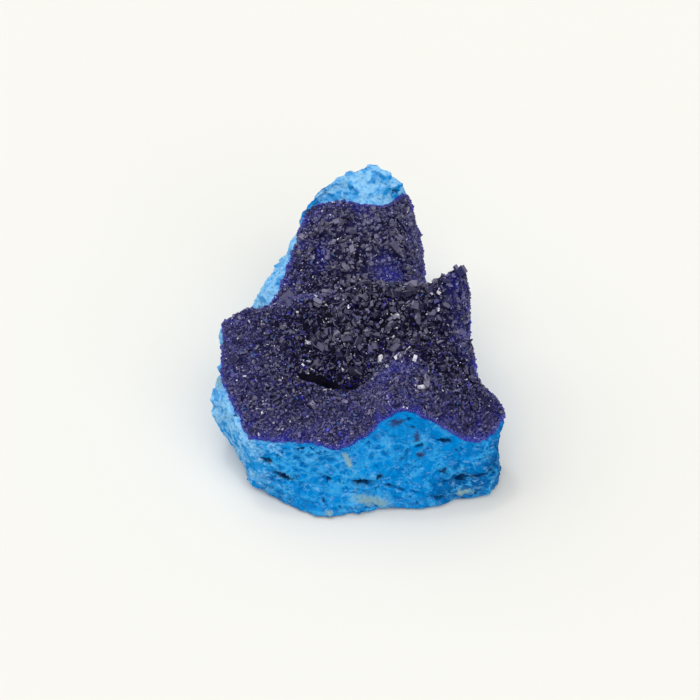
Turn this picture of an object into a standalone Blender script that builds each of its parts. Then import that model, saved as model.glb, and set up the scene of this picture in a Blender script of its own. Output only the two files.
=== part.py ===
"""Azurite specimen: a broken lump of pale blue matrix rock whose upper side carries a crust of dark blue
azurite crystals.

Run with: blender --background --python part.py

Lengths are written in millimetres and scaled to metres by MM. +Z is up, the specimen rests on Z = 0, its long
axis runs along Y, and the broad broken face looks towards -Y. The origin is the middle of its footprint box.
"""

import itertools
import math
import random

import bmesh
import bpy
import numpy as np
from mathutils import Matrix, Vector

MM = 0.001

# Middle of the footprint box, in the frame that the numbers below are written in.
PLAN_CENTRE = (1.12, 29.73)

# The crust is a skin on the rock, thinner at its broken edge. The two solids stay a hair apart.
CRUST_THICKNESS = 1.15
CRUST_EDGE_THICKNESS = 0.45
CRUST_TAPER_START = 0.88
CRUST_GAP = 0.38
# The rock's edge stands this far outside the crust's.
ROCK_LIP = 0.55

# Stations round the specimen, counter-clockwise from the middle of the front face.
# Each holds the crust's edge as x, y, z, then how far out from it, and how high, the rock's brow, belly and
# foot lie.
#         edge x     y     z   brow out    z  belly out    z  foot out    z
STATIONS = [
    (-0.8, -0.3, 11.5, 0.5, 9.5, 2.4, 5.0, 4.2, 0.4),
    (4.5, 0.9, 15.5, 0.6, 12.5, 2.8, 6.0, 4.0, 0.5),
    (8.4, 1.7, 17.5, 0.8, 14.0, 3.4, 6.5, 6.0, 0.5),
    (14.4, 1.6, 14.5, 0.6, 11.0, 2.8, 5.5, 4.2, 0.5),
    (20.4, 1.5, 11.2, 0.4, 9.0, 2.0, 5.0, 2.4, 0.5),
    (24.4, 5.2, 12.0, -0.2, 9.5, 0.0, 4.5, 0.2, 0.7),
    (24.6, 9.8, 12.0, -0.2, 9.0, -0.2, 5.0, -0.8, 0.9),
    (21.4, 14.3, 13.2, -0.1, 10.5, -0.2, 5.5, -1.0, 1.0),
    (20.1, 20.0, 15.6, -0.2, 12.5, -0.6, 6.5, -1.2, 1.0),
    (19.9, 25.5, 19.0, -0.2, 15.5, -0.8, 7.5, -1.6, 0.8),
    (19.6, 30.8, 20.6, -0.1, 16.5, -0.6, 7.5, -1.8, 0.8),
    (16.2, 35.5, 14.6, 0.2, 12.0, 0.2, 6.5, -1.0, 0.8),
    (13.2, 40.5, 12.6, 0.2, 10.4, 0.0, 5.5, -1.0, 0.9),
    (13.3, 46.0, 12.5, 0.2, 10.5, 0.2, 6.0, -1.0, 0.9),
    (12.9, 51.0, 14.5, 0.2, 12.0, 0.2, 6.5, -1.2, 0.8),
    (11.8, 55.2, 17.5, 0.2, 15.0, 0.4, 8.0, -0.4, 0.7),
    (10.2, 58.2, 20.9, 0.4, 20.2, 1.8, 10.0, 1.4, 0.7),
    (6.5, 53.7, 21.6, 4.8, 25.0, 8.2, 13.0, 9.0, 0.8),
    (2.2, 53.0, 22.3, 5.8, 26.3, 9.8, 13.5, 11.0, 0.8),
    (-3.0, 54.6, 21.8, 2.9, 24.1, 6.4, 13.0, 8.2, 0.8),
    (-7.4, 53.2, 20.5, 0.9, 20.5, 3.0, 10.0, 3.2, 0.8),
    (-9.5, 47.0, 18.5, 1.6, 15.5, 5.9, 8.0, 5.2, 0.8),
    (-11.4, 41.0, 15.5, 2.9, 13.0, 5.9, 7.0, 5.4, 0.9),
    (-13.4, 36.0, 13.3, 1.1, 11.0, 3.2, 6.5, 2.8, 1.0),
    (-16.5, 31.5, 13.0, 0.7, 10.5, 2.0, 6.5, 1.4, 1.0),
    (-20.0, 27.5, 15.5, 0.6, 13.0, 1.0, 7.5, -0.5, 1.0),
    (-21.3, 23.5, 17.8, 0.8, 16.4, 0.3, 8.5, -1.0, 1.0),
    (-21.1, 20.9, 17.4, -0.5, 15.2, 0.0, 8.5, -0.8, 1.0),
    (-21.1, 18.0, 16.6, -0.4, 14.2, 1.1, 8.5, -0.6, 1.0),
    (-21.0, 13.0, 15.3, 0.6, 12.5, 2.2, 8.0, -1.0, 1.0),
    (-19.4, 9.0, 13.8, 0.9, 11.5, 1.2, 7.0, -1.0, 1.1),
    (-17.4, 5.2, 12.4, 0.6, 10.5, 0.4, 6.0, -0.4, 1.2),
    (-16.5, 2.2, 11.9, 0.4, 10.2, 0.4, 5.8, 0.0, 1.0),
    (-13.9, 1.1, 12.0, 0.5, 10.0, 1.0, 5.5, 0.3, 0.8),
    (-9.5, 0.2, 12.4, 0.6, 10.2, 1.8, 5.5, 2.1, 0.5),
    (-4.0, -0.4, 12.0, 0.5, 10.0, 2.2, 5.0, 4.4, 0.4),
]

# Heights of the crystal surface inside its edge, as x, y, z.
RELIEF = {
    "front apron": [
        (-12, 6, 14.0),
        (-5, 6, 14.2),
        (1, 6, 15.0),
        (7, 7, 18.8),
        (14, 7, 16.2),
        (20, 6, 13.2),
    ],
    "hollow line": [
        (-15, 13, 16.2),
        (-8, 12.5, 14.8),
        (-2, 13.5, 13.2),
        (3, 14.5, 15.0),
        (8, 13, 18.6),
        (15, 13, 16.5),
        (20.5, 11.5, 15.0),
    ],
    "slope to the crest": [
        (-16, 19, 18.0),
        (-8, 19, 18.0),
        (-1, 20, 18.2),
        (6, 20, 19.5),
        (13, 20, 18.6),
        (19.2, 18, 18.4),
    ],
    "crest, rising to the peak": [
        (-19, 23.5, 19.4),
        (-14, 25.5, 19.8),
        (-8.4, 27, 20.9),
        (-5, 27.5, 20.7),
        (-1.8, 27.8, 20.2),
        (1, 28.4, 21.8),
        (3.6, 29, 22.9),
        (6, 29.5, 22.0),
        (8.5, 30, 21.0),
        (12.6, 30, 20.4),
        (15.5, 29.8, 22.6),
        (18.4, 29, 25.0),
        (19, 24, 21.8),
    ],
    "fall behind the crest": [
        (-14, 31, 15.5),
        (-6, 34, 15.0),
        (2, 35, 15.0),
        (9, 35.5, 15.0),
        (15, 33.5, 17.0),
    ],
    "back slope": [
        (-7, 39, 15.2),
        (1, 40, 15.4),
        (9, 40, 14.8),
        (-5, 46, 18.6),
        (3, 46, 18.6),
        (10, 46, 16.5),
        (-2, 51, 21.0),
        (5, 50, 20.8),
        (10, 52, 19.4),
    ],
}

# A shaded slot under the slope to the crest: centre x, y, half length, half width, turn in degrees.
SLOT = (-3.0, 13.9, 4.8, 1.1, -6.0)
SLOT_DEPTH = 2.8
# The rock's bed under the crust runs wide of the slot, and stays low under the peak.
BED_SLOT = (-3.0, 13.9, 7.0, 3.2, -6.0)
BED_PEAK = (18.2, 28.2, 3.6, 3.6, 0.0)
BED_PEAK_DROP = 3.2
BED_STEEPEST = 2.6

# The middle line that the stations lean out from.
SPINE = ((0.5, 12.0), (1.5, 43.0))
POLE = (0.5, 26.0)

# Broken rock: lumps as (size, height) with creases between them, and the wandering grooves under its
# ledges as (middle x, half length, height at x = 0, rise per mm of x, half width, depth).
LUMPS = [(9.0, 1.2), (4.2, 0.9), (2.2, 0.55)]
LUMP_MEAN = 0.22
GROOVES = [
    (9.5, 9.0, 5.9, -0.26, 0.45, 0.9),
    (21.0, 6.0, 4.6, 0.0, 0.5, 0.8),
]
GROOVE_WANDER = 0.8
GROOVE_WANDER_SIZE = 6.0
# Grooves and pits are on the front face: whole up to this y, and gone 4 mm behind it.
FRONT_END = 8.0
# The lift leans upwards by this much for each unit outwards, and fades in over the wall's first rings.
LIFT_RISE = 0.35
LIFT_FADE_RINGS = 4
LOWEST_FOOT = 0.25
# Pits in the broken face: x, z, half length, half height, depth, turn in degrees.
PITS = [
    (-10.4, 5.1, 2.0, 0.55, 1.0, -9),
    (3.4, 6.2, 1.6, 0.5, 0.8, -8),
    (-13.4, 8.1, 1.2, 0.5, 0.6, -35),
    (14.6, 10.4, 1.8, 0.45, 0.7, -12),
    (18.5, 4.6, 0.9, 0.8, 0.9, 0),
    (6.0, 7.0, 0.9, 0.5, 0.6, -40),
]

ROUND_COUNT = 208
TOP_RINGS = 16
WALL_RINGS = 26
BASE_RINGS = 14
BASE_FLAT = 0.62
BASE_RAGGED = 1.6
BASE_RAGGED_SIZE = 5.0
MATRIX_TRIANGLES = 3600
CRUST_TRIANGLES = 800
# Swellings of the crystal surface, as (size, height); they fade out at its edge from this share on.
SWELLINGS = [(5.2, 0.55), (2.3, 0.38)]
SWELLING_FADE = 0.93

# Half length of a fine crystal, and the places where crystals are coarser, as centre x, y, half length,
# half width, turn in degrees.
CRYSTAL_SIZE = 1.15
COARSE_PLACES = {
    "slope to the crest": (0.55, (8.0, 22.0, 13.0, 8.5, 0.0)),
    "back slope": (0.3, (1.0, 43.0, 8.0, 8.0, 0.0)),
}
CRYSTAL_COUNT = 175
CRYSTAL_SEED = 3
# How deep a crystal's root sinks in the crust, upright and at most with its tilt.
CRYSTAL_SINK = 0.22
CRYSTAL_DEEPEST = 0.7
CRYSTAL_TILT = 34.0
CRYSTAL_SPACING = 0.9


def lattice_number(cell, layer):
    """Mixes a lattice point's three whole numbers and a layer number to one number from 0 to 1."""
    x, y, z = cell[..., 0], cell[..., 1], cell[..., 2]
    mixed = x * 73856093 ^ y * 19349663 ^ z * 83492791 ^ (layer * 2654435761)
    mixed = (mixed ^ (mixed >> 13)) * 1274126177 & 0x7FFFFFFF
    mixed = (mixed ^ (mixed >> 16)) * 668265263 & 0x7FFFFFFF
    return mixed / 0x7FFFFFFF


def slope_noise(points, size, layer):
    """Gradient noise of this grain: random slopes at a lattice's corners, blended over each cell."""
    scaled = points / size
    cell = np.floor(scaled).astype(np.int64)
    part = scaled - cell
    fade = part**3 * (part * (part * 6 - 15) + 10)
    total = np.zeros(len(points))
    for corner in itertools.product((0, 1), repeat=3):
        turn = 2 * math.pi * lattice_number(cell + corner, 2 * layer)
        rise = 2 * lattice_number(cell + corner, 2 * layer + 1) - 1
        flat = np.sqrt(1 - rise**2)
        slope = np.stack([flat * np.cos(turn), flat * np.sin(turn), rise], axis=1)
        weight = np.prod(np.where(corner, fade, 1 - fade), axis=1)
        total += weight * np.sum(slope * (part - corner), axis=1)
    return 1.6 * total


def periodic_spline(rows, at):
    """Catmull-Rom curve through the rows of numbers, closed on itself; at counts rows."""
    rows = np.asarray(rows, float)
    count = len(rows)
    index = np.floor(at).astype(int)
    f = (at - index)[:, None]
    a, b, c, d = (rows[(index + k) % count] for k in (-1, 0, 1, 2))
    return 0.5 * (
        2 * b
        + (c - a) * f
        + (2 * a - 5 * b + 4 * c - d) * f**2
        + (3 * b - a - 3 * c + d) * f**3
    )


def evenly_round(count):
    """The stations, resampled at equal steps along the crust's edge."""
    fine = np.arange(4000) * len(STATIONS) / 4000
    edge = periodic_spline(STATIONS, fine)[:, :2]
    steps = np.linalg.norm(np.roll(edge, -1, axis=0) - edge, axis=1)
    run = np.concatenate([[0.0], np.cumsum(steps)])
    wanted = np.arange(count) * run[-1] / count
    return periodic_spline(STATIONS, np.interp(wanted, run, np.append(fine, len(STATIONS))))


def plate_kernel(points, centres):
    """r squared times log r, the thin plate's bend, between each point and each centre."""
    r = np.linalg.norm(points[:, None] - centres[None], axis=2)
    return r * r * np.log(np.maximum(r, 1e-9))


def fit_plate():
    """A thin plate bent through the crust's edge and the relief heights: its centres and weights."""
    heights = [s[:3] for s in STATIONS] + [p for group in RELIEF.values() for p in group]
    heights = np.array(heights, float)
    centres = heights[:, :2]
    flat = np.column_stack([np.ones(len(centres)), centres])
    system = np.block([[plate_kernel(centres, centres), flat], [flat.T, np.zeros((3, 3))]])
    weights = np.linalg.solve(system, np.append(heights[:, 2], np.zeros(3)))
    return centres, weights


PLATE_CENTRES, PLATE_WEIGHTS = fit_plate()


def dent(x, y, centre_x, centre_y, half_length, half_width, turn_deg):
    """A smooth spot that is 1 at its centre and fades out at its half sizes."""
    turn = math.radians(turn_deg)
    along = (x - centre_x) * math.cos(turn) + (y - centre_y) * math.sin(turn)
    across = (y - centre_y) * math.cos(turn) - (x - centre_x) * math.sin(turn)
    return np.exp(-((along / half_length) ** 2) - (across / half_width) ** 2)


def plate(plan):
    """Height of the thin plate over plan points, shape (n, 2)."""
    bend = plate_kernel(plan, PLATE_CENTRES) @ PLATE_WEIGHTS[:-3]
    return bend + PLATE_WEIGHTS[-3] + plan @ PLATE_WEIGHTS[-2:]


def crystal_surface(plan):
    """Height of the crystal surface: the plate, cut by the slot."""
    return plate(plan) - SLOT_DEPTH * dent(*plan.T, *SLOT)


def bed_surface(plan):
    """The smoother surface that the crust's underside and the rock's bed are both measured down from."""
    return plate(plan) - SLOT_DEPTH * dent(*plan.T, *BED_SLOT) - BED_PEAK_DROP * dent(*plan.T, *BED_PEAK)


def slope(surface, plan):
    """How steeply a surface rises along x and along y."""
    step = 0.05
    height = surface(plan)
    return [(surface(plan + move) - height) / step for move in ((step, 0), (0, step))]


def on_surface(plan):
    return np.column_stack([plan, crystal_surface(plan)])


def under_surface(plan, depth):
    """Points under the crystal surface, at a depth square to the bed's slope."""
    rise_x, rise_y = slope(bed_surface, plan)
    steepness = np.minimum(np.sqrt(1 + rise_x**2 + rise_y**2), BED_STEEPEST)
    return np.column_stack([plan, bed_surface(plan) - depth * steepness])


def lean_out(plan):
    """Unit directions from the spine out to each plan point."""
    start, end = (np.array(p) for p in SPINE)
    axis = end - start
    share = np.clip((plan - start) @ axis / (axis @ axis), 0, 1)
    out = plan - (start + share[:, None] * axis)
    return out / np.linalg.norm(out, axis=1)[:, None]


def crust_depth(share):
    """Thickness of the crust at a share of the way from the pole to its edge."""
    fade = np.clip((share - CRUST_TAPER_START) / (1 - CRUST_TAPER_START), 0, 1)
    return CRUST_THICKNESS + (CRUST_EDGE_THICKNESS - CRUST_THICKNESS) * fade**2


def plan_rings(edge_plan, shares):
    """Rings in plan, at shares of the way from the pole to the crust's edge."""
    return [np.array(POLE) + share * (edge_plan - POLE) for share in shares]


def wall_rings(top, stations):
    """Rings down the broken sides: a smooth curve from the top edge through brow, belly and foot."""
    out = lean_out(stations[:, :2])
    knots = [top]
    for column in (3, 5, 7):
        plan = stations[:, :2] + out * stations[:, column : column + 1]
        knots.append(np.column_stack([plan, stations[:, column + 1]]))
    knots = [2 * knots[0] - knots[1], *knots, 2 * knots[3] - knots[2]]
    rings = []
    for at in np.linspace(0, 3, WALL_RINGS)[1:]:
        k = min(int(at), 2)
        f = at - k
        a, b, c, d = knots[k : k + 4]
        curve = 2 * b + (c - a) * f + (2 * a - 5 * b + 4 * c - d) * f**2 + (3 * b - a - 3 * c + d) * f**3
        rings.append(0.5 * curve)
    return rings


def roughness(points):
    """How far the broken rock stands out at each point: creased lumps, less grooves and pits."""
    height = np.zeros(len(points))
    for layer, (size, amount) in enumerate(LUMPS):
        height += amount * (np.abs(slope_noise(points, size, layer)) - LUMP_MEAN)
    x, y, z = points.T
    front = np.clip((FRONT_END + 4 - y) / 4, 0, 1)
    wander = GROOVE_WANDER * slope_noise(points * (1, 1, 0), GROOVE_WANDER_SIZE, 9)
    for middle, half_length, start, rise, half_width, depth in GROOVES:
        along = np.exp(-(((x - middle) / half_length) ** 4))
        height -= depth * front * along * np.exp(-(((z - start - rise * x - wander) / half_width) ** 2))
    for centre_x, centre_z, half_length, half_height, depth, turn in PITS:
        height -= depth * front * dent(x, z, centre_x, centre_z, half_length, half_height, turn)
    return height


def roughen(rings, stations):
    """The wall's rings pushed out by the rock's roughness, which fades in below the crust's edge."""
    out = np.column_stack([lean_out(stations[:, :2]), np.full(len(stations), LIFT_RISE)])
    rough = []
    for index, ring in enumerate(rings):
        fade_in = min(1.0, (index + 1) / LIFT_FADE_RINGS)
        lift = roughness(ring) * fade_in
        moved = ring + out * lift[:, None]
        moved[:, 2] = np.maximum(moved[:, 2], LOWEST_FOOT)
        rough.append(moved)
    return rough


def base_rings(foot):
    """Rings from the ragged foot in to the middle of the flat that the specimen rests on."""
    centre = np.array(POLE)
    rings = []
    for share in np.linspace(1, 0, BASE_RINGS + 1)[1:-1]:
        plan = centre + share * (foot[:, :2] - centre)
        rise = np.clip((share - BASE_FLAT) / (1 - BASE_FLAT), 0, 1)
        ragged = BASE_RAGGED * np.maximum(0, slope_noise(np.pad(plan, ((0, 0), (0, 1))), BASE_RAGGED_SIZE, 8))
        rings.append(np.column_stack([plan, rise * (0.6 * foot[:, 2] + ragged)]))
    return rings


def loft(name, first, rings, last, collection):
    """A closed skin over rings of equal count, with a single point at each end, turned to face out."""
    count = len(rings[0])
    bm = bmesh.new()
    start = bm.verts.new(first)
    lines = [[bm.verts.new(p) for p in ring] for ring in rings]
    end = bm.verts.new(last)
    for i in range(count):
        j = (i + 1) % count
        bm.faces.new((start, lines[0][i], lines[0][j]))
        bm.faces.new((end, lines[-1][j], lines[-1][i]))
        for upper, lower in zip(lines, lines[1:]):
            bm.faces.new((upper[i], lower[i], lower[j], upper[j]))
    bmesh.ops.triangulate(bm, faces=bm.faces)
    bmesh.ops.recalc_face_normals(bm, faces=bm.faces)
    return add_object(name, bm, collection)


def add_object(name, bm, collection):
    """The bmesh as an object, moved from the drawing frame in millimetres to the footprint's middle in metres."""
    to_row = Matrix.Scale(MM, 4) @ Matrix.Translation((-PLAN_CENTRE[0], -PLAN_CENTRE[1], 0))
    bm.transform(to_row)
    mesh = bpy.data.meshes.new(name)
    bm.to_mesh(mesh)
    bm.free()
    obj = bpy.data.objects.new(name, mesh)
    collection.objects.link(obj)
    return obj


def thin_out(obj, triangles):
    """Collapses the object's mesh to about this many triangles, which keeps its creases."""
    modifier = obj.modifiers.new("thin_out", "DECIMATE")
    modifier.ratio = min(1.0, triangles / len(obj.data.polygons))
    modifier.use_collapse_triangulate = True
    bake_modifiers(obj)


def bake_modifiers(obj):
    """Replaces the object's mesh with its evaluated one and drops the modifiers."""
    bpy.context.view_layer.update()
    graph = bpy.context.evaluated_depsgraph_get()
    mesh = bpy.data.meshes.new_from_object(obj.evaluated_get(graph), depsgraph=graph)
    obj.modifiers.clear()
    obj.data = mesh


def matrix_rock(stations, collection):
    """The pale blue lump: recessed under the crust, broken all round, flat where it rests."""
    shares = np.linspace(0, 1, TOP_RINGS + 1)[1:]
    edge_plan = stations[:, :2] + ROCK_LIP * lean_out(stations[:, :2])
    plans = plan_rings(edge_plan, shares)
    bed = [under_surface(plan, crust_depth(share) + CRUST_GAP) for plan, share in zip(plans, shares)]
    walls = roughen(wall_rings(bed[-1], stations), stations)
    base = base_rings(walls[-1])
    pole = under_surface(np.array([POLE]), CRUST_GAP + CRUST_THICKNESS)[0]
    rock = loft("matrix_rock", pole, bed + walls + base, (*POLE, 0.0), collection)
    thin_out(rock, MATRIX_TRIANGLES)
    return rock


def crust_skin(stations, collection):
    """The crust's body: a thin lens between the crystal surface and the rock's bed."""
    shares = np.linspace(0, 1, 2 * TOP_RINGS + 1)[1:]
    plans = plan_rings(stations[:, :2], shares)
    upper = [on_surface(plan) for plan in plans]
    for ring, share in zip(upper, shares):
        fade = min(1.0, (1 - share) / (1 - SWELLING_FADE))
        flat_ring = ring * (1, 1, 0)
        for layer, (size, amount) in enumerate(SWELLINGS):
            ring[:, 2] += fade * amount * slope_noise(flat_ring, size, 11 + layer)
    lower = [under_surface(plan, crust_depth(share)) for plan, share in zip(plans, shares)]
    over = on_surface(np.array([POLE]))[0]
    under = under_surface(np.array([POLE]), CRUST_THICKNESS)[0]
    skin = loft("azurite_crust", over, upper + lower[::-1], under, collection)
    thin_out(skin, CRUST_TRIANGLES)
    return skin


def crystal_size(x, y):
    """Half length of a crystal: coarse on the slope up to the crest, fine towards the broken edges."""
    return CRYSTAL_SIZE + sum(growth * dent(x, y, *place) for growth, place in COARSE_PLACES.values())


def crystal_sites(stations):
    """Seeded places for the crystals, no two closer than their size allows."""
    rng = random.Random(CRYSTAL_SEED)
    edge = (np.array(POLE) + 0.95 * (stations[:, :2] - POLE)).tolist()
    sites = []
    for _ in range(40000):
        x, y = rng.uniform(-24, 26), rng.uniform(-2, 60)
        if len(sites) == CRYSTAL_COUNT:
            break
        if not inside(x, y, edge):
            continue
        size = crystal_size(x, y)
        near = (math.dist((x, y), site[:2]) < CRYSTAL_SPACING * (size + site[2]) for site in sites)
        if not any(near):
            sites.append((x, y, size))
    return sites


def inside(x, y, outline):
    """Whether a point lies in a closed outline, by counting the edges to its right."""
    crossings = 0
    for (x0, y0), (x1, y1) in zip(outline, outline[1:] + outline[:1]):
        if (y0 > y) != (y1 > y) and x < x0 + (y - y0) * (x1 - x0) / (y1 - y0):
            crossings += 1
    return crossings % 2 == 1


def add_crystal(bm, rng, foot, normal, size):
    """One tabular crystal: a flattened prism with a slanted top, its root sunk in the crust."""
    half_length = size * rng.uniform(0.8, 1.25)
    height = size * rng.uniform(0.6, 1.1) + CRYSTAL_SINK
    made = bmesh.ops.create_cone(
        bm,
        cap_ends=True,
        segments=rng.choice((4, 4, 4, 6)),
        radius1=half_length,
        radius2=half_length * rng.uniform(0.55, 0.8),
        depth=height,
    )["verts"]
    slant = rng.uniform(-0.45, 0.45)
    flat = rng.uniform(0.55, 0.85)
    for vert in made:
        vert.co.y *= flat
        if vert.co.z > 0:
            vert.co.z += slant * vert.co.x
        vert.co.z += height / 2 - CRYSTAL_SINK
    most_tilt = math.asin(min(1.0, (CRYSTAL_DEEPEST - CRYSTAL_SINK) / half_length))
    tilt = Matrix.Rotation(min(most_tilt, math.radians(rng.uniform(0, CRYSTAL_TILT))), 4, "X")
    aside = Matrix.Rotation(rng.uniform(0, 2 * math.pi), 4, "Z")
    spin = Matrix.Rotation(rng.uniform(0, 2 * math.pi), 4, "Z")
    upright = normal.to_track_quat("Z", "Y").to_matrix().to_4x4()
    bmesh.ops.transform(bm, matrix=Matrix.Translation(foot) @ upright @ aside @ tilt @ spin, verts=made)


def crystals(stations, collection):
    """All the crystals in one mesh, ready to be fused with the crust."""
    rng = random.Random(CRYSTAL_SEED + 1)
    bm = bmesh.new()
    for x, y, size in crystal_sites(stations):
        plan = np.array([[x, y]])
        rise_x, rise_y = slope(crystal_surface, plan)
        normal = Vector((-rise_x[0], -rise_y[0], 1.0))
        add_crystal(bm, rng, Vector(on_surface(plan)[0]), normal, size)
    bmesh.ops.recalc_face_normals(bm, faces=bm.faces)
    return add_object("crystals", bm, collection)


def azurite_crust(stations, collection, tools):
    """The dark crust: the skin and every crystal on it, fused in one solid."""
    skin = crust_skin(stations, collection)
    growth = crystals(stations, tools)
    growth.hide_render = True
    growth.display_type = "WIRE"
    fuse = skin.modifiers.new("fuse_crystals", "BOOLEAN")
    fuse.operation = "UNION"
    fuse.solver = "EXACT"
    fuse.use_self = True
    fuse.object = growth
    return skin


def finish(obj, name, colour, roughness_value):
    """Gives the object one plain material."""
    material = bpy.data.materials.new(name)
    material.use_nodes = True
    shader = material.node_tree.nodes["Principled BSDF"]
    shader.inputs["Base Color"].default_value = (*colour, 1.0)
    shader.inputs["Roughness"].default_value = roughness_value
    shader.inputs["Metallic"].default_value = 0.0
    obj.data.materials.clear()
    obj.data.materials.append(material)


def new_collection(name):
    collection = bpy.data.collections.new(name)
    bpy.context.scene.collection.children.link(collection)
    return collection


def clear_scene():
    for obj in list(bpy.data.objects):
        bpy.data.objects.remove(obj, do_unlink=True)


def main():
    clear_scene()
    specimen = new_collection("azurite_specimen")
    tools = new_collection("tools")
    stations = evenly_round(ROUND_COUNT)
    rock = matrix_rock(stations, specimen)
    crust = azurite_crust(stations, specimen, tools)
    finish(rock, "pale_blue_matrix", (0.07, 0.34, 0.68), 0.9)
    finish(crust, "azurite", (0.014, 0.012, 0.06), 0.25)


main()
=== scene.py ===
import itertools
import math

import bpy
import numpy as np
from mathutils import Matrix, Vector


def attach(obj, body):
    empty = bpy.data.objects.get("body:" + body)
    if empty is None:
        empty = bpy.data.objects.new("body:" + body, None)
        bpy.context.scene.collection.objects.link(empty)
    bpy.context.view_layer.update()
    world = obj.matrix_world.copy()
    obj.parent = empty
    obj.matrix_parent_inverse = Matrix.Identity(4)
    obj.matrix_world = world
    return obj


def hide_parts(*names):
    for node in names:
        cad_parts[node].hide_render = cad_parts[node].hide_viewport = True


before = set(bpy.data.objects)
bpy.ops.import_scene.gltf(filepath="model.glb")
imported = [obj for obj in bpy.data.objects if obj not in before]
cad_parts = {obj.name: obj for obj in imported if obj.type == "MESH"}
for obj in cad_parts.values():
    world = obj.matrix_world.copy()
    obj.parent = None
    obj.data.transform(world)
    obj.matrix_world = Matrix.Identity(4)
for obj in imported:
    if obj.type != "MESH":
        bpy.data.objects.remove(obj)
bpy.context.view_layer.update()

mm = 0.001
# middle of the footprint, in the millimetres that the form is drawn in
planCentre = np.array([1.12, 29.73])

# Stations round the specimen, counter-clockwise from the middle of the front face, in millimetres: the
# crust's edge as x, y, z, then how far out from it, and how high, the rock's brow, belly and foot lie.
stations = np.array([
    (-0.8, -0.3, 11.5, 0.5, 9.5, 2.4, 5.0, 4.2, 0.4),
    (4.5, 0.9, 15.5, 0.6, 12.5, 2.8, 6.0, 4.0, 0.5),
    (8.4, 1.7, 17.5, 0.8, 14.0, 3.4, 6.5, 6.0, 0.5),
    (14.4, 1.6, 14.5, 0.6, 11.0, 2.8, 5.5, 4.2, 0.5),
    (20.4, 1.5, 11.2, 0.4, 9.0, 2.0, 5.0, 2.4, 0.5),
    (24.4, 5.2, 12.0, -0.2, 9.5, 0.0, 4.5, 0.2, 0.7),
    (24.6, 9.8, 12.0, -0.2, 9.0, -0.2, 5.0, -0.8, 0.9),
    (21.4, 14.3, 13.2, -0.1, 10.5, -0.2, 5.5, -1.0, 1.0),
    (20.1, 20.0, 15.6, -0.2, 12.5, -0.6, 6.5, -1.2, 1.0),
    (19.9, 25.5, 19.0, -0.2, 15.5, -0.8, 7.5, -1.6, 0.8),
    (19.6, 30.8, 20.6, -0.1, 16.5, -0.6, 7.5, -1.8, 0.8),
    (16.2, 35.5, 14.6, 0.2, 12.0, 0.2, 6.5, -1.0, 0.8),
    (13.2, 40.5, 12.6, 0.2, 10.4, 0.0, 5.5, -1.0, 0.9),
    (13.3, 46.0, 12.5, 0.2, 10.5, 0.2, 6.0, -1.0, 0.9),
    (12.9, 51.0, 14.5, 0.2, 12.0, 0.2, 6.5, -1.2, 0.8),
    (11.8, 55.2, 17.5, 0.2, 15.0, 0.4, 8.0, -0.4, 0.7),
    (10.2, 58.2, 20.9, 0.4, 20.2, 1.8, 10.0, 1.4, 0.7),
    (6.5, 53.7, 21.6, 4.8, 25.0, 8.2, 13.0, 9.0, 0.8),
    (2.2, 53.0, 22.3, 5.8, 26.3, 9.8, 13.5, 11.0, 0.8),
    (-3.0, 54.6, 21.8, 2.9, 24.1, 6.4, 13.0, 8.2, 0.8),
    (-7.4, 53.2, 20.5, 0.9, 20.5, 3.0, 10.0, 3.2, 0.8),
    (-9.5, 47.0, 18.5, 1.6, 15.5, 5.9, 8.0, 5.2, 0.8),
    (-11.4, 41.0, 15.5, 2.9, 13.0, 5.9, 7.0, 5.4, 0.9),
    (-13.4, 36.0, 13.3, 1.1, 11.0, 3.2, 6.5, 2.8, 1.0),
    (-16.5, 31.5, 13.0, 0.7, 10.5, 2.0, 6.5, 1.4, 1.0),
    (-20.0, 27.5, 15.5, 0.6, 13.0, 1.0, 7.5, -0.5, 1.0),
    (-21.3, 23.5, 17.8, 0.8, 16.4, 0.3, 8.5, -1.0, 1.0),
    (-21.1, 20.9, 17.4, -0.5, 15.2, 0.0, 8.5, -0.8, 1.0),
    (-21.1, 18.0, 16.6, -0.4, 14.2, 1.1, 8.5, -0.6, 1.0),
    (-21.0, 13.0, 15.3, 0.6, 12.5, 2.2, 8.0, -1.0, 1.0),
    (-19.4, 9.0, 13.8, 0.9, 11.5, 1.2, 7.0, -1.0, 1.1),
    (-17.4, 5.2, 12.4, 0.6, 10.5, 0.4, 6.0, -0.4, 1.2),
    (-16.5, 2.2, 11.9, 0.4, 10.2, 0.4, 5.8, 0.0, 1.0),
    (-13.9, 1.1, 12.0, 0.5, 10.0, 1.0, 5.5, 0.3, 0.8),
    (-9.5, 0.2, 12.4, 0.6, 10.2, 1.8, 5.5, 2.1, 0.5),
    (-4.0, -0.4, 12.0, 0.5, 10.0, 2.2, 5.0, 4.4, 0.4),
])

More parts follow.
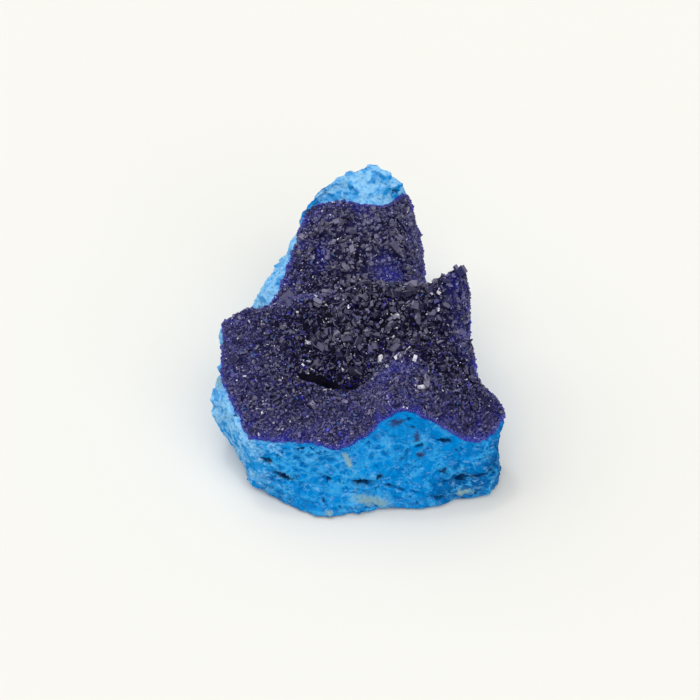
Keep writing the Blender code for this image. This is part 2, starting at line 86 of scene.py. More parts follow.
# Heights of the crystal surface inside its edge, as x, y, z.
relief = {
    "front apron": [(-12, 6, 14.0), (-5, 6, 14.2), (1, 6, 15.0), (7, 7, 18.8), (14, 7, 16.2), (20, 6, 13.2)],
    "hollow line": [(-15, 13, 16.2), (-8, 12.5, 14.8), (-2, 13.5, 13.2), (3, 14.5, 15.0), (8, 13, 18.6),
                    (15, 13, 16.5), (20.5, 11.5, 15.0)],
    "slope to the crest": [(-16, 19, 18.0), (-8, 19, 18.0), (-1, 20, 18.2), (6, 20, 19.5), (13, 20, 18.6),
                           (19.2, 18, 18.4)],
    "crest and peak": [(-19, 23.5, 19.4), (-14, 25.5, 19.8), (-8.4, 27, 20.9), (-5, 27.5, 20.7),
                       (-1.8, 27.8, 20.2), (1, 28.4, 21.8), (3.6, 29, 22.9), (6, 29.5, 22.0), (8.5, 30, 21.0),
                       (12.6, 30, 20.4), (15.5, 29.8, 22.6), (18.4, 29, 25.0), (19, 24, 21.8)],
    "behind the crest": [(-14, 31, 15.5), (-6, 34, 15.0), (2, 35, 15.0), (9, 35.5, 15.0), (15, 33.5, 17.0)],
    "back slope": [(-7, 39, 15.2), (1, 40, 15.4), (9, 40, 14.8), (-5, 46, 18.6), (3, 46, 18.6),
                   (10, 46, 16.5), (-2, 51, 21.0), (5, 50, 20.8), (10, 52, 19.4)],
}

form = {
    "pole": np.array([0.5, 26.0]),
    "spine": np.array([(0.5, 12.0), (1.5, 43.0)]),
    # shaded slot in the hollow, behind the line of its sharp front lip
    "lipX": [-9.5, -7.7, -5.9, -4.1, -2.9, -2.2, -0.8, 1.3, 2.6, 4.0],
    "lipY": [13.3, 12.8, 12.5, 12.3, 11.7, 11.2, 11.1, 11.3, 11.9, 12.6],
    "slotMiddle": -3.0, "slotHalfLength": 5.6, "slotWidth": 2.1, "slotDepth": 3.3,
    "slotFront": (-0.3, 0.4),  # the slot's wall, from and to this far behind that line
    # the bed's own hollow and drop under the peak: depth, then x, y, half length, half width, turn
    "bedDents": [(2.8, (-3.0, 13.9, 7.0, 3.2, -6.0)), (3.2, (18.2, 28.2, 3.6, 3.6, 0.0))],
    "steepest": 2.6,  # how many times the flat measure a slope may count
    # the crust's thickness, that at its edge, and where it begins to thin
    "crustThickness": 1.15, "crustEdge": 0.28, "crustTaperStart": 0.88,
    "edgeSteps": 6000,  # in which its edge is measured
    "crowding": (24, 4),  # y from and to which columns crowd towards the front
}


def dent(x, y, centreX, centreY, halfLength, halfWidth, turnDegrees):
    # e to the minus (distance along / half length) squared, minus (distance across / half width) squared
    turn = math.radians(turnDegrees)
    along = (x - centreX) * math.cos(turn) + (y - centreY) * math.sin(turn)
    across = (y - centreY) * math.cos(turn) - (x - centreX) * math.sin(turn)
    return np.exp(-((along / halfLength) ** 2) - (across / halfWidth) ** 2)


def dentSum(plan, places):
    # the dents at some places, each times its weight
    return sum(weight * dent(*plan.T, *place) for weight, place in places)


def atFloor(plan):
    return np.column_stack([plan, np.zeros(len(plan))])


def normalised(vectors):
    # each vector over its own length
    return vectors / np.maximum(np.linalg.norm(vectors, axis=-1)[..., None], 1e-9)


def smoothStep(low, high, value):
    # 0 below low, 1 above high, and 3 t squared minus 2 t cubed between them
    t = np.clip((value - low) / (high - low), 0, 1)
    return t * t * (3 - 2 * t)


def latticeNumber(cell, layer):
    # mixes a lattice point's three whole numbers and a layer number to one number in 0..1
    mixed = cell[..., 0] * 73856093 ^ cell[..., 1] * 19349663 ^ cell[..., 2] * 83492791 ^ (layer * 2654435761)
    mixed = (mixed ^ (mixed >> 13)) * 1274126177 & 0x7FFFFFFF
    mixed = (mixed ^ (mixed >> 16)) * 668265263 & 0x7FFFFFFF
    return mixed / 0x7FFFFFFF


def slopeNoise(points, size, layer=0):
    # gradient noise: a random slope at each corner of a lattice of this size, times the way from that corner,
    # blended over the cell by 6 t^5 - 15 t^4 + 10 t^3
    scaled = points / size
    cell = np.floor(scaled).astype(np.int64)
    part = scaled - cell
    fade = part**3 * (part * (part * 6 - 15) + 10)
    total = np.zeros(len(points))
    for corner in itertools.product((0, 1), repeat=3):
        corner = np.array(corner)
        turn = 2 * math.pi * latticeNumber(cell + corner, 2 * layer)
        rise = 2 * latticeNumber(cell + corner, 2 * layer + 1) - 1
        flat = np.sqrt(1 - rise**2)
        slope = np.stack([flat * np.cos(turn), flat * np.sin(turn), rise], axis=1)
        weight = np.prod(np.where(corner, fade, 1 - fade), axis=1)
        total += weight * np.sum(slope * (part - corner), axis=1)
    return 1.6 * total


def layeredNoise(points, layers, first):
    # gradient noises of several sizes, each times its height
    return sum(height * slopeNoise(points, size, first + k) for k, (size, height) in enumerate(layers))


def creasedNoise(points, layers, first):
    # the same, but each noise without its sign, less its mean
    return sum(height * (np.abs(slopeNoise(points, size, first + k)) - rock["lumpMean"])
               for k, (size, height) in enumerate(layers))


def cellNoise(points, size, layer=0):
    # one random seed point in each lattice cell: distances to the nearest and the second, over the size, and
    # the nearest one's own random number
    scaled = points / size
    cell = np.floor(scaled).astype(np.int64)
    nearest = np.full(len(points), 9.0)
    second = np.full(len(points), 9.0)
    number = np.zeros(len(points))
    for step in itertools.product((-1, 0, 1), repeat=3):
        other = cell + np.array(step)
        seed = np.stack([latticeNumber(other, 50 + 3 * layer + k) for k in range(3)], axis=1)
        gap = np.linalg.norm(other + seed - scaled, axis=1)
        closer = gap < nearest
        second = np.where(closer, nearest, np.minimum(second, gap))
        number = np.where(closer, latticeNumber(other, 90 + layer), number)
        nearest = np.where(closer, gap, nearest)
    return nearest, second, number


def catmullRom(a, b, c, d, f):
    # the curve through four knots, between b and c
    return 0.5 * (2 * b + (c - a) * f + (2 * a - 5 * b + 4 * c - d) * f**2 + (3 * b - a - 3 * c + d) * f**3)


def loopSpline(rows, at):
    # the curve through the rows, closed on itself; at counts rows
    index = np.floor(at).astype(int)
    return catmullRom(*(rows[(index + k) % len(rows)] for k in (-1, 0, 1, 2)), (at - index)[:, None])


def stationsRound(count, frontCrowding):
    # stations at equal steps along the crust's edge, with steps made shorter towards the front face
    fine = np.arange(form["edgeSteps"]) * len(stations) / form["edgeSteps"]
    edge = loopSpline(stations, fine)[:, :2]
    steps = np.linalg.norm(np.roll(edge, -1, axis=0) - edge, axis=1)
    steps = steps * (1 + (frontCrowding - 1) * smoothStep(*form["crowding"], edge[:, 1]))
    run = np.concatenate([[0.0], np.cumsum(steps)])
    wanted = np.arange(count) * run[-1] / count
    return loopSpline(stations, np.interp(wanted, run, np.append(fine, len(stations))))


def plateKernel(points, centres):
    # r^2 log r of the distances r between them
    r = np.linalg.norm(points[:, None] - centres[None], axis=2)
    return r * r * np.log(np.maximum(r, 1e-9))


def fitPlate():
    # thin plate bent through the edge and relief heights: solves for one weight a point, and a plane
    heights = np.array([list(row[:3]) for row in stations] + [p for group in relief.values() for p in group])
    centres = heights[:, :2]
    flat = np.column_stack([np.ones(len(centres)), centres])
    system = np.block([[plateKernel(centres, centres), flat], [flat.T, np.zeros((3, 3))]])
    return centres, np.linalg.solve(system, np.append(heights[:, 2], np.zeros(3)))


plateCentres, plateWeights = fitPlate()


def plateHeight(plan):
    # the plate's bend and plane over plan points, worked out in runs that fit in memory
    runs = np.array_split(plan, len(plan) // 50000 + 1)
    parts = [plateKernel(run, plateCentres) @ plateWeights[:-3] for run in runs]
    return np.concatenate(parts) + plateWeights[-3] + plan @ plateWeights[-2:]


crustRelief = {
    "swellings": [(5.2, 0.55), (2.3, 0.38)],  # size and height
    "edgeFade": 0.93,
    "edgeWobble": [(1.8, 0.42), (0.75, 0.2)],  # size and reach of the broken edge's wobble
    "nick": (19.9, 24.6, 1.6, 0.55, 0.9),  # in the edge: x, y, half length across it and along it, depth
    # the crest's line, along which the crust is jagged
    "crestX": [-19.0, -14.0, -8.4, -2.0, 3.4, 8.5, 12.6, 15.5, 18.4],
    "crestY": [23.5, 25.5, 27.0, 28.0, 29.0, 30.0, 30.0, 29.8, 29.0],
    "crestJag": 1.1, "crestJagSize": 2.6, "crestWidth": 1.5,
}


def leanOut(plan):
    # unit directions from the nearest point of the spine out to each plan point
    start, end = form["spine"]
    axis = end - start
    share = np.clip((plan - start) @ axis / (axis @ axis), 0, 1)
    return normalised(plan - (start + share[:, None] * axis))


def brokenEdge(plan):
    # the crust's edge, moved in and out by two grains of noise
    shift = layeredNoise(atFloor(plan), crustRelief["edgeWobble"], 30)
    *nickPlace, nickDepth = crustRelief["nick"]
    shift -= nickDepth * dent(*plan.T, *nickPlace, 0)
    return plan + leanOut(plan) * shift[:, None]


def edgeRound(count, frontCrowding):
    return brokenEdge(stationsRound(count, frontCrowding)[:, :2])


edgeFine = edgeRound(4000, 1.0) - form["pole"]
edgeAngle = np.arctan2(edgeFine[:, 1], edgeFine[:, 0])
edgeOrder = np.argsort(edgeAngle)


def insideEdge(plan):
    # how far out a plan point lies, from 0 at the pole to 1 at the crust's edge, and its way there in mm
    way = plan - form["pole"]
    angle = np.arctan2(way[:, 1], way[:, 0])
    reaches = np.linalg.norm(edgeFine, axis=1)[edgeOrder]
    reach = np.interp(angle, edgeAngle[edgeOrder], reaches, period=2 * math.pi)
    length = np.linalg.norm(way, axis=1)
    return length / reach, reach - length


def wayInside(plan):
    # millimetres in from the crust's edge, 0 outside it
    return np.maximum(insideEdge(plan)[1], 0)


def slotCut(plan):
    # e to the minus (distance behind the lip's line / width) squared, cut off in front of that line, and
    # fading out at both ends with the fourth power of the distance along
    behind = plan[:, 1] - np.interp(plan[:, 0], form["lipX"], form["lipY"])
    along = np.exp(-(((plan[:, 0] - form["slotMiddle"]) / form["slotHalfLength"]) ** 4))
    low, high = form["slotFront"]
    across = np.exp(-((np.maximum(behind - high, 0) / form["slotWidth"]) ** 2))
    return form["slotDepth"] * along * (smoothStep(low, high, behind) * across)


def crystalSurface(plan):
    # the plate, less the slot, plus swellings that fade out at the crust's edge, and the crest's jags
    inside = 1 - smoothStep(crustRelief["edgeFade"], 1.0, insideEdge(plan)[0])
    flatPoints = atFloor(plan)
    swelling = layeredNoise(flatPoints, crustRelief["swellings"], 11)
    offCrest = plan[:, 1] - np.interp(plan[:, 0], crustRelief["crestX"], crustRelief["crestY"])
    onCrest = np.exp(-((offCrest / crustRelief["crestWidth"]) ** 2))
    swelling += crustRelief["crestJag"] * onCrest * slopeNoise(flatPoints, crustRelief["crestJagSize"], 14)
    return plateHeight(plan) - slotCut(plan) + inside * swelling


def bedSurface(plan):
    # the smoother surface that the crust's underside and the rock's bed are measured down from
    slot, peak = (depth * dent(*plan.T, *place) for depth, place in form["bedDents"])
    return plateHeight(plan) - slot - peak


def riseOf(surface, plan):
    # the surface's slopes along x and y, by a small step each way
    step = 0.06
    height = surface(plan)
    return [(surface(plan + move) - height) / step for move in ((step, 0), (0, step))]


def underCrust(plan, depth):
    # points under the bed surface, at a depth square to its slope
    riseX, riseY = riseOf(bedSurface, plan)
    steepness = np.minimum(np.sqrt(1 + riseX**2 + riseY**2), form["steepest"])
    return np.column_stack([plan, bedSurface(plan) - depth * steepness])


def crustDepth(share):
    # the crust's thickness at a share of the way out to its edge
    fade = np.clip((share - form["crustTaperStart"]) / (1 - form["crustTaperStart"]), 0, 1)
    return form["crustThickness"] + (form["crustEdge"] - form["crustThickness"]) * fade**2


def putObject(name, data):
    piece = bpy.data.objects.new(name, data)
    bpy.context.scene.collection.objects.link(piece)
    return piece


def putMesh(name, points, faceSets, smooth=True):
    # fills a mesh from arrays; each face set holds faces of one corner count
    mesh = bpy.data.meshes.new(name)
    points = (points - np.append(planCentre, 0)) * mm
    corners = np.concatenate([faces.ravel() for faces in faceSets]).astype(np.int32)
    counts = np.concatenate([np.full(len(faces), faces.shape[1]) for faces in faceSets])
    mesh.vertices.add(len(points))
    mesh.vertices.foreach_set("co", points.astype(np.float32).ravel())
    mesh.loops.add(len(corners))
    mesh.loops.foreach_set("vertex_index", corners)
    mesh.polygons.add(len(counts))
    mesh.polygons.foreach_set("loop_start", np.concatenate([[0], np.cumsum(counts)[:-1]]).astype(np.int32))
    mesh.polygons.foreach_set("use_smooth", np.full(len(counts), smooth))
    mesh.update(calc_edges=True)
    return putObject(name, mesh)


def putColours(piece, name, columns):
    # a colour attribute on the points, from up to three columns of numbers
    values = np.ones((len(columns[0]), 4), np.float32)
    for k, column in enumerate(columns):
        values[:, k] = column
    attribute = piece.data.color_attributes.new(name, "FLOAT_COLOR", "POINT")
    attribute.data.foreach_set("color", values.ravel())


def roundFaces(rows, columns):
    # faces of a closed skin: a point, then rows of rings with this many columns, then a point
    ring = np.arange(columns)
    following = (ring + 1) % columns
    first = 1 + np.arange(rows - 1)[:, None] * columns
    corners = [first + ring, first + columns + ring, first + columns + following, first + following]
    quads = np.stack(corners, axis=2)
    last = 1 + (rows - 1) * columns
    start = np.column_stack([0 * ring, 1 + ring, 1 + following])
    end = np.column_stack([0 * ring + last + columns, last + following, last + ring])
    return [quads.reshape(-1, 4), start, end]


def gridNormals(rings):
    # unit normals of a stack of rings: the step down the rows crossed with the step round the ring
    down = np.gradient(rings, axis=0)
    along = np.roll(rings, -1, axis=1) - np.roll(rings, 1, axis=1)
    return normalised(np.cross(down, along))


rock = {
    "columns": 760, "frontCrowding": 1.5,
    "bedRows": 6, "wallRows": 106, "baseRows": 14,
    "gap": 0.05,  # under the crust's skin
    "lip": 0.12,  # how far its edge stands outside the crust's
    "smoothPasses": 24,  # over the corners of its rings
    "calm": (0.8, (10.0, 59.4, 2.4, 2.4, 0)),  # how much less rough a sharp corner at the back is, and where
    # shares of the wall's height, from its top, over which the smoothing, the lumps and the knobs set in
    "smoothStart": 0.1, "lumpStart": 0.14, "knobStart": 0.05,
    "lumps": [(9.0, 1.2), (4.2, 0.9), (2.2, 0.55)],  # size and height of the creased lumps
    "lumpMean": 0.22,
    "lumpRise": 0.35,
    "knobs": [(1.3, 0.28), (0.75, 0.26), (0.42, 0.17)],  # finer ones, along the surface's own normal
    # thin flakes: size, height, width of their seams from and to, stretch in height
    "flakes": (3.1, 0.16, (0.02, 0.16)),
    "sideFlakes": (6.0, 0.75, (0.02, 0.14), 1.5),
    # pits scattered all over, and larger ones off the front: size of their cells, how far those wander, the
    # distances from their middles where a pit ends and is full, the share that hold one, and their depth
    "finePits": {"size": (1.3, 1.3, 0.85), "warp": 0.95, "reach": (0.42, 0.12), "share": 0.13, "depth": 0.32},
    "sidePits": {"size": (5.2, 5.2, 2.6), "warp": 1.1, "reach": (0.26, 0.06), "share": 0.5, "depth": 0.75},
    "lowest": 0.15,  # of the wall
    "baseFlat": 0.62, "baseRise": 0.6,
    "ragged": 1.6, "raggedSize": 5.0,
    # grooves under ledges: middle x, half length, height at x = 0, rise per mm, half width, depth
    "grooves": [(9.5, 9.0, 5.9, -0.26, 0.32, 0.8), (21.0, 6.0, 4.6, 0.0, 0.4, 0.8)],
    "grooveWander": 0.8, "grooveWanderSize": 6.0, "grooveJitter": 0.25,
    "grooveBreaks": (2.0, -0.35, 0.25, 0.35),  # size, the noise from and to which it deepens, and least depth
    "grooveDark": 0.22,  # half width of the dark line painted in it as shade
    "jitter": [(0.9, 1.0), (0.4, 0.7)],  # size and height of the unrest of its outlines
    # pits in the front face: x, z, half length, half height, depth, turn; only this surface has the last six
    "pits": [(-11.3, 5.6, 2.3, 0.7, 1.1, -12), (2.0, 5.5, 2.2, 0.5, 0.8, -8),
             (-13.4, 8.1, 1.2, 0.5, 0.6, -35), (15.2, 11.4, 1.6, 0.4, 0.7, -8),
             (18.5, 4.6, 0.9, 0.8, 0.9, 0), (4.8, 6.0, 1.1, 0.45, 0.6, 25),
             (-4.4, 2.6, 0.5, 0.35, 0.5, 0), (-3.9, 6.0, 0.9, 0.3, 0.45, -25),
             (15.4, 5.9, 0.7, 0.5, 0.5, 20), (-8.0, 11.0, 0.9, 0.3, 0.35, 5),
             (-5.1, 10.6, 0.5, 0.35, 0.35, 0), (11.5, 10.9, 0.6, 0.4, 0.4, 0)],
    "pitJitter": (0.5, 0.35),  # along x and z
    "pitMark": (0.35, 0.8), "sidePitMark": (0.35, 0.9),  # depths from and to which a pit is painted dark, as shade
    "frontEnd": 8.0, "frontFade": 4.0,  # y up to which the front face reaches, and over which it fades
    "sideStains": (9.0, 0.50, 0.85, 0.8),  # size, the noise from and to which they show, and strength
    "tuck": (0.7, (11.5, 39.0, 4.0, 9.0, 0)),  # how far the rock stands back under the crust, and where
    "edgeMark": 0.16,  # width of the violet line under the crust
    "lowMark": (3.0, 0.8),  # heights from and to which the rock is dusty
    # paleness, partly painted highlight where light falls on faces turned up, to the left and towards the
    # back,
    # and partly paler weathered rock: by facing up, by facing left, by lying between two y, less a little,
    # and the most
    "pale": (0.45, 0.8, 0.65, 0.1, 0.88), "paleLeft": (0.55, 1.0), "paleBack": (16, 44),
    # stains on the front face: x, z, half length, half height, turn
    "beigeStains": [(3.6, 2.2, 4.0, 1.3, -18), (-0.3, 8.8, 2.2, 0.6, -60), (18.6, 1.7, 2.0, 0.8, 0),
                    (-3.4, 1.0, 1.0, 0.5, 0)],
    "brownStains": [(7.4, 15.2, 1.6, 0.9, 0), (10.7, 12.2, 0.6, 0.9, 0), (11.3, 9.2, 0.9, 0.6, 0)],
    # zones of the front face: x, z, half length, half height, turn
    "spongyPlaces": [(-9.5, 8.0, 8.0, 4.5, 0), (-1.5, 6.5, 5.0, 4.0, -30), (4.8, 10.5, 3.0, 2.4, 0)],
    "smoothPlaces": [(8.8, 15.2, 5.0, 2.6, 0), (16.0, 11.0, 3.4, 1.6, -25)],
    # painted shade: the front's lower right, painted darker where less light falls
    "paintedShadePlaces": [(18.5, 3.2, 5.5, 3.8, 0), (24.0, 5.0, 3.6, 7.0, 0)],
}


def frontShare(points):
    # 1 on the front face, fading to 0 behind it
    return np.clip((rock["frontEnd"] + rock["frontFade"] - points[:, 1]) / rock["frontFade"], 0, 1)


def rockLumps(points):
    # creased lumps, then wandering grooves and single pits on the front face; and how dark those are painted,
    # as shade
    height = creasedNoise(points, rock["lumps"], 0)
    x, y, z = points.T
    front = frontShare(points)
    wander = rock["grooveWander"] * slopeNoise(points * (1, 1, 0), rock["grooveWanderSize"], 9)
    jitter = layeredNoise(points, rock["jitter"], 16)
    dark = np.zeros(len(points))
    breakSize, low, high, least = rock["grooveBreaks"]
    broken = smoothStep(low, high, slopeNoise(points, breakSize, 15))
    for middle, halfLength, start, rise, halfWidth, depth in rock["grooves"]:
        along = front * np.exp(-(((x - middle) / halfLength) ** 4))
        offLine = z - start - rise * x - wander - rock["grooveJitter"] * jitter
        cut = np.exp(-((offLine / halfWidth) ** 2))
        height -= depth * along * cut * (least + (1 - least) * broken)
        dark = np.maximum(dark, along * broken * np.exp(-((offLine / rock["grooveDark"]) ** 2)))
    jitterX, jitterZ = (share * jitter for share in rock["pitJitter"])
    for centreX, centreZ, halfLength, halfHeight, depth, turn in rock["pits"]:
        pit = front * dent(x + jitterX, z + jitterZ, centreX, centreZ, halfLength, halfHeight, turn)
        height -= depth * pit
        dark = np.maximum(dark, smoothStep(*rock["pitMark"], pit))
    return height, dark


def wallRings(top, around, rows):
    # a curve from the top edge through brow, belly and foot at each station
    out = leanOut(around[:, :2])
    knots = [top]
    for column in (3, 5, 7):
        plan = around[:, :2] + out * around[:, column:column + 1]
        knots.append(np.column_stack([plan, around[:, column + 1]]))
    knots = [2 * knots[0] - knots[1], *knots, 2 * knots[3] - knots[2]]
    rings = []
    for at in np.linspace(0, 3, rows + 1)[1:]:
        k = min(int(at), 2)
        rings.append(catmullRom(*knots[k:k + 4], at - k))
    return np.array(rings)


def smoothWall(wall):
    # the sharp corners of its rings are smoothed in small passes, except at the top edge
    smooth = wall
    for _ in range(rock["smoothPasses"]):
        smooth = (np.roll(smooth, 1, axis=1) + 2 * smooth + np.roll(smooth, -1, axis=1)) / 4
    share = smoothStep(0, rock["smoothStart"], np.linspace(0, 1, len(wall)))
    return wall + share[:, None, None] * (smooth - wall)


def cellHollows(points, pits, layer):
    # pits round the seeds of cells that wander and are stretched, and each cell's own number
    warp = np.stack([slopeNoise(points, 0.9, 25 + k) + 0.5 * slopeNoise(points, 0.4, 35 + k)
                     for k in range(3)], axis=1)
    nearest, _, number = cellNoise((points + pits["warp"] * warp) / np.array(pits["size"]), 1.0, layer)
    return smoothStep(*pits["reach"], nearest), number


def fineRelief(points, side):
    # knobs, flakes and pits, with larger flakes and pits off the front; and how dark the pits are painted, as
    # shade
    fine = creasedNoise(points, rock["knobs"], 20)
    size, height, seam = rock["flakes"]
    nearest, second, number = cellNoise(points, size, 1)
    fine += height * (number - 0.5) * smoothStep(*seam, second - nearest)
    size, height, seam, stretch = rock["sideFlakes"]
    nearest, second, number = cellNoise(points * (1, 1, stretch), size, 5)
    fine -= side * height * (0.15 + 0.85 * number * smoothStep(*seam, second - nearest))
    pits = rock["finePits"]
    pit, number = cellHollows(points, pits, 2)
    pit = pit * smoothStep(pits["share"], 0.4 * pits["share"], number)
    fine -= pits["depth"] * pit
    pits = rock["sidePits"]
    hollow, number = cellHollows(points, pits, 3)
    hollow = side * hollow * (number < pits["share"])
    fine -= pits["depth"] * hollow
    return fine, np.maximum(pit, smoothStep(*rock["sidePitMark"], hollow))


def makeRock():
    # rings over the bed under the crust, down the broken wall and in under the base, roughened in two steps:
    # large lumps outwards, then fine relief along the surface's own normal
    around = stationsRound(rock["columns"], rock["frontCrowding"])
    outward = leanOut(around[:, :2])
    edge = brokenEdge(around[:, :2]) + rock["lip"] * outward
    pole = form["pole"]
    bed = [underCrust(pole + share * (edge - pole), crustDepth(share) + rock["gap"])
           for share in np.linspace(0, 1, rock["bedRows"] + 1)[1:]]
    wall = smoothWall(wallRings(bed[-1], around, rock["wallRows"]))
    shape = wall.shape
    flat = wall.reshape(-1, 3)
    rowShare = np.repeat(np.linspace(0, 1, shape[0]), shape[1])
    height, dark = rockLumps(flat)
    depth, place = rock["tuck"]
    height -= depth * dent(*flat[:, :2].T, *place)
    share, place = rock["calm"]
    rough = 1 - share * dent(*flat[:, :2].T, *place)
    height = height * rough * smoothStep(0, rock["lumpStart"], rowShare)
    lean = np.column_stack([outward, np.full(shape[1], rock["lumpRise"])])
    wall = wall + lean[None] * height.reshape(shape[:2])[..., None]
    flat = wall.reshape(-1, 3)
    side = 1 - frontShare(flat)
    fine, pit = fineRelief(flat, side)
    fine *= rough * smoothStep(0, rock["knobStart"], rowShare)
    flat = flat + gridNormals(wall).reshape(-1, 3) * fine[:, None]
    flat[:, 2] = np.maximum(flat[:, 2], rock["lowest"])
    wall = flat.reshape(shape)
    base = []
    for share in np.linspace(1, 0, rock["baseRows"] + 1)[1:-1]:
        plan = pole + share * (wall[-1][:, :2] - pole)
        rise = np.clip((share - rock["baseFlat"]) / (1 - rock["baseFlat"]), 0, 1)
        ragged = rock["ragged"] * np.maximum(0, slopeNoise(atFloor(plan), rock["raggedSize"], 8))
        base.append(np.column_stack([plan, rise * (rock["baseRise"] * wall[-1][:, 2] + ragged)]))
    rings = np.concatenate([np.array(bed), wall, np.array(base)])
    top = underCrust(pole[None], crustDepth(0) + rock["gap"])
    points = np.concatenate([top, rings.reshape(-1, 3), [(*pole, 0.0)]])
    piece = putMesh("matrixSkin", points, roundFaces(len(rings), shape[1]))
    marks, stainsAndHighlight, zones = np.zeros((3, 3, len(points)))
    before = 1 + len(bed) * shape[1]
    onWall = slice(before, before + len(flat))
    # marks: pits and grooves painted dark as shade, closeness to the crust's edge, and lowness
    fromEdge = np.linalg.norm(flat - np.tile(bed[-1], (shape[0], 1)), axis=1)
    marks[0, onWall] = np.maximum(pit, dark)
    marks[1, onWall] = np.exp(-fromEdge / rock["edgeMark"])
    marks[1, :before] = 1
    marks[2] = smoothStep(*rock["lowMark"], points[:, 2])
    # stains: beige and brown spots, set on the front face and scattered on the others, and how pale the rock
    # is, more to the left and the back, partly painted highlight; zones: spongy, smooth, and painted shade on
    # the right
    x, y, z = flat.T
    front = frontShare(flat)
    size, low, high, strength = rock["sideStains"]
    for row, name in enumerate(("beigeStains", "brownStains")):
        spots = np.max([dent(x, z, *spot) for spot in rock[name]], axis=0)
        scattered = strength * side * smoothStep(low, high, slopeNoise(flat * (1, 1, 1.8), size, 45 + row))
        stainsAndHighlight[row, onWall] = np.maximum(front * spots, scattered)
    for row, name in enumerate(("spongyPlaces", "smoothPlaces", "paintedShadePlaces")):
        zones[row, onWall] = front * np.max([dent(x, z, *zone) for zone in rock[name]], axis=0)
    # pale: partly painted highlight, lighter where the rock faces up and to the left as the light falls, and
    # towards the back; partly paler weathered rock
    up = gridNormals(wall).reshape(-1, 3)[:, 2]
    left = np.tile(smoothStep(*rock["paleLeft"], -outward[:, 0]), shape[0])
    byUp, byLeft, byBack, less, most = rock["pale"]
    pale = byUp * up + byLeft * left - less + byBack * smoothStep(*rock["paleBack"], y)
    stainsAndHighlight[2, onWall] = np.clip(pale, 0, most)
    for name, columns in (("rockMarks", marks), ("rockStainsAndHighlight", stainsAndHighlight), ("rockZones", zones)):
        putColours(piece, name, columns)
    return piece


matrixSkin = makeRock()
print("rock made,", len(matrixSkin.data.polygons), "faces")

skin = {
    "columns": 640, "frontCrowding": 1.2,
    "rows": 72, "underRows": 5,
    "grains": [(0.9, 0.3), (0.45, 0.16)],  # size and height of the pointed grains
    "edgeRound": 0.97, "edgeDrop": 0.12,
    "tone": 0.3,
}


def makeSkin():
    # rings over the crystal surface, raised by pointed grains (a half less the distance to the nearest seed),
    # and back in under it
    around = edgeRound(skin["columns"], skin["frontCrowding"])
    pole = form["pole"]
    shares = np.linspace(0, 1, skin["rows"] + 1)[1:]
    plan = (pole + shares[:, None, None] * (around - pole)).reshape(-1, 2)
    upper = np.column_stack([plan, crystalSurface(plan)])
    rowShare = np.repeat(shares, skin["columns"])
    lift = np.zeros(len(upper))
    for layer, (size, amount) in enumerate(skin["grains"]):
        lift += amount * (0.5 - cellNoise(upper, size, 4 + layer)[0])
    edge = smoothStep(skin["edgeRound"], 1.0, rowShare)
    upper[:, 2] += lift * (1 - edge) - skin["edgeDrop"] * edge
    under = []
    for share in np.linspace(1, 0, skin["underRows"] + 1)[:-1]:
        under.append(underCrust(pole + share * (around - pole), crustDepth(share)))
    rings = np.concatenate([upper.reshape(skin["rows"], -1, 3), np.array(under)])
    top = np.column_stack([pole[None], crystalSurface(pole[None])])
    bottom = underCrust(pole[None], crustDepth(0))
    points = np.concatenate([top, rings.reshape(-1, 3), bottom])
    piece = putMesh("crustSkin", points, roundFaces(len(rings), skin["columns"]), smooth=False)
    tone = np.full(len(points), skin["tone"])
    putColours(piece, "crystalTone", [tone, litFineness(points[:, :2]), edgeGlow(points)])
    return piece


